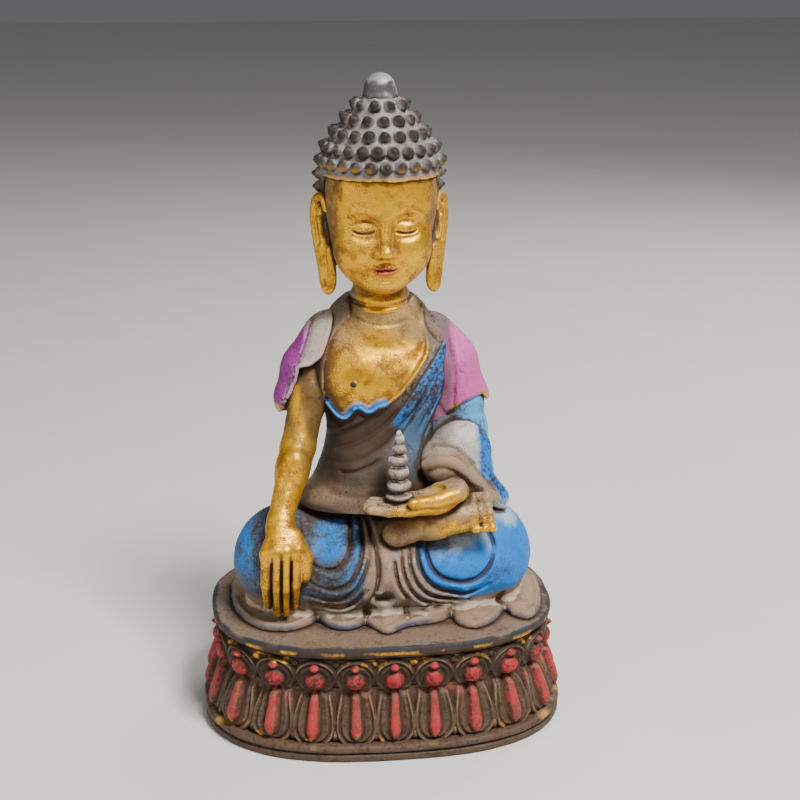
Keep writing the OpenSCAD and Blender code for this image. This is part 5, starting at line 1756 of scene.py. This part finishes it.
def make_hair():
    clay = new_clay((-23, -25, CHIN + 4), (23, 19, CROWN + 2), FINE * 1.15)
    zs = np.linspace(CHIN + 5, CROWN, 24)
    clay.add(loft([(z, hair_radius(z) - 0.25, hair_radius(z) - 0.25, 0, HEAD_Y) for z in zs], 2.0))
    clay.keep(lambda x, y, z: np.maximum(CHIN + 7 - z, np.minimum(HEAD_Y - 1.4 - y, HAIRLINE - 0.2 - z))
              + 0 * x)
    rng = np.random.default_rng(23)
    rows = 12
    for row in range(rows):                  # snail curls, which stand like small studs
        z = CHIN + 8 + (row + 0.5) * (HEAD_H - 8.5) / rows
        r = hair_radius(z)
        lean = (hair_radius(z - 1) - hair_radius(z + 1)) / 2
        count = int(math.pi / math.asin(min(1, 2.15 / r)))
        for i in range(count):
            a = TURN / 4 + (i + (row % 2) / 2) * TURN / count
            x, y = r * math.cos(a), HEAD_Y + r * math.sin(a)
            if z < HAIRLINE + 0.6 and y < HEAD_Y - 1.0:
                continue
            if z < CHIN + 28 and abs(y - HEAD_Y) < 4.5:
                continue
            size = CURL * rng.uniform(0.94, 1.06)
            out = np.array([math.cos(a), math.sin(a), lean]) / math.hypot(1, lean)
            c = np.array([x, y, z]) + out * 0.1
            clay.add(egg(c, size), 0.7)
            clay.add(bone(c, c + out * 1.9, size * 0.62, size * 0.34), 0.6)
    clay.rough(1.6, 0.14, 1)
    clay.rough(4, 0.1, 2)
    obj = clay_mesh("hair", clay)

    def paint(look, p, n):
        x, y, z = p.T
        patch = noise(x, y, z, 5, 3, 1)
        undercoat(look, tint=HAIR, under=(0.10, 0.085, 0.075), bright=ASH, rub=0.2)
        out = np.hypot(x, y - HEAD_Y) - hair_radius(z)
        ash = ramp(out + 0.3 * patch, 1.9, 0.7) * ramp(n[:, 2] + 0.3 * patch, -0.75, 0.05)
        coat(look, 0.9 * ash, tint=ASH, leaf=0.3)
        temple = ramp(z, HAIRLINE + 1, HAIRLINE - 3) * ramp(y, HEAD_Y + 4, HEAD_Y)
        coat(look, temple, tint=PATINA)
        coat(look, 1 - ash * (1 - temple), bright=(0.17, 0.155, 0.15))
        front_edge = ramp(y, HEAD_Y - 2, HEAD_Y - 8) * ramp(z, HAIRLINE + 4.6, HAIRLINE + 2.2)
        tips = front_edge * ramp(out, 0.8, 2.2) * ramp(patch, -0.4, 0.3)
        coat(look, 0.8 * tips, tint=GOLD, bright=GOLD_PALE, leaf=0.8)
        band = front_edge * ramp(z, HAIRLINE + 1.4, HAIRLINE - 0.2)
        coat(look, 0.85 * band, tint=GOLD, bright=GOLD_PALE, leaf=0.8)
        look["dirt"] = np.clip(look["dirt"] * 0.7 - 0.5 * ash, 0, 1)
        look["wear"] = np.clip(0.6 * look["wear"] + 0.3 * ash, 0, 1)
    finish_piece(obj, ["hair_cap", "hair_curls"], paint, (0.9, 2.2))
    return clay


def make_crown_jewel():
    lo, hi = low("crown_jewel"), high("crown_jewel")
    clay = new_clay(lo - 1, hi + 1, FINE)
    cx, cy = (lo[:2] + hi[:2]) / 2
    r = (hi[0] - lo[0]) / 2
    z = CROWN + 1.6
    clay.add(egg((cx, cy, z + 0.6), (r - 0.25, r - 0.25, TOP - z - 0.8)))
    clay.add(egg((cx, cy, z - 1.6), (r + 0.3, r + 0.3, 2.6)), 1.2)
    clay.add(bone((cx, cy, lo[2] + 1.3), (cx, cy, z), 1.15, 1.15), 0.3)
    clay.keep(lambda x, y, zz: lo[2] - zz + 0 * x)
    clay.rough(3, 0.15, 1)
    obj = clay_mesh("crown_jewel", clay)

    def paint(look, p, n):
        patch = noise(*p.T, 3, 3, 1)
        undercoat(look, tint=(0.10, 0.10, 0.11), under=(0.04, 0.04, 0.05), bright=(0.50, 0.50, 0.52),
                  leaf=0.5, rub=0.2)
        coat(look, ramp(n[:, 2] + 0.5 * patch, 0.3, 1.0), tint=(0.34, 0.34, 0.36))
        look["wear"] = np.clip(0.25 + 0.4 * patch, 0, 1)
        look["dirt"] = look["dirt"] * 0.6
    finish_piece(obj, ["crown_jewel"], paint, (0.7, 1.8))
    return clay


# ---- Hidden hardware keeps its CAD shape ----


def hardware():
    steel = machined("drawn_steel", (0.42, 0.42, 0.43), 1.0)
    zinc = machined("zinc_plate", (0.55, 0.56, 0.58), 1.0, 0.3)
    brass = machined("brass_sheet", (0.58, 0.40, 0.14), 1.0, 0.8)
    for node, mat in (("strap", steel), ("bottom_cover", brass), ("cover_screws", zinc), ("tie_rod", zinc),
                      ("rod_washer", zinc),
                      ("rod_nut", zinc), ("arm_dowel", steel)):
        obj = bpy.data.objects[node]
        obj.data.materials.clear()
        obj.data.materials.append(mat)


# ---- Floor, light and camera ----


def build_stage():
    size = 3.0
    mesh = bpy.data.meshes.new("floor")
    mesh.from_pydata([(-size, -size, 0), (size, -size, 0), (size, size, 0), (-size, size, 0)], [],
                     [(0, 1, 2, 3)])
    floor = bpy.data.objects.new("floor", mesh)
    bpy.context.scene.collection.objects.link(floor)
    n = Nodes("floor_paper")
    n.join(n.blend(n.noise(60, 3), (0.74, 0.73, 0.71), (0.80, 0.79, 0.77)), n.shader.inputs["Base Color"])
    n.shader.inputs["Roughness"].default_value = 0.9
    mesh.materials.append(n.mat)
    world = bpy.data.worlds.new("studio")
    bpy.context.scene.world = world
    world.use_nodes = True
    world.node_tree.nodes["Background"].inputs[0].default_value = (0.95, 0.97, 1.0, 1)
    world.node_tree.nodes["Background"].inputs[1].default_value = 0.13
    for name, place, power, width in (("key", (0.24, -0.46, 0.82), 14.5, 0.24),
                                      ("fill", (-0.75, -0.35, 0.40), 2.2, 0.6),
                                      ("rim", (0.45, 0.55, 0.60), 3.6, 0.5)):
        lamp = bpy.data.lights.new(name, "AREA")
        lamp.energy, lamp.size = power, width
        lamp.color = (1.0, 0.97, 0.93)
        obj = bpy.data.objects.new(name, lamp)
        obj.location = place
        aim = Matrix.Translation((0, 0, 0.09)).translation - obj.location
        obj.rotation_euler = aim.to_track_quat("-Z", "Y").to_euler()
        bpy.context.scene.collection.objects.link(obj)


AZIMUTH, ELEVATION, DISTANCE = -6.0, 26.5, 0.5667
TILT_UP, TURN_RIGHT = 9.81, 0.674          # the base stands below and left of the picture's middle
LENS = 76.5


def build_camera():
    a, e = math.radians(AZIMUTH), math.radians(ELEVATION)
    place = np.array([math.sin(a) * math.cos(e), -math.cos(a) * math.cos(e), math.sin(e)]) * DISTANCE
    lower = e - math.radians(TILT_UP)
    ahead = np.array([-math.sin(a) * math.cos(lower), math.cos(a) * math.cos(lower), -math.sin(lower)])
    right = np.cross(ahead, (0, 0, 1))
    right /= np.linalg.norm(right)
    yaw = math.radians(TURN_RIGHT)
    ahead = ahead * math.cos(yaw) + right * math.sin(yaw)
    right = np.cross(ahead, (0, 0, 1))
    right /= np.linalg.norm(right)
    up = np.cross(right, ahead)
    data = bpy.data.cameras.new("camera")
    data.lens, data.sensor_width, data.clip_start = LENS, 36, 0.01
    obj = bpy.data.objects.new("camera", data)
    rows = [[*(float(v[i]) for v in (right, up, -ahead, place))] for i in range(3)] + [[0, 0, 0, 1]]
    obj.matrix_world = Matrix(rows)
    bpy.context.scene.collection.objects.link(obj)
    bpy.context.scene.camera = obj


# ---- Build ----
# All clay is modelled before any of it is painted, so that the recesses between pieces are found.

make_lower_robe()
make_torso()
make_right_cape()
make_right_arm()
make_left_sleeve()
make_left_cuff()
make_left_hand()
make_pagoda()
make_right_foot()
make_neck()
make_head()
make_ears()
make_hair()
make_crown_jewel()
make_plinth()
make_drum()
make_lower_petals()
make_leaf_tips()
make_upper_petals()
make_seat_plate()
for job in to_paint:
    paint_piece(*job)
hardware()
build_stage()
build_camera()
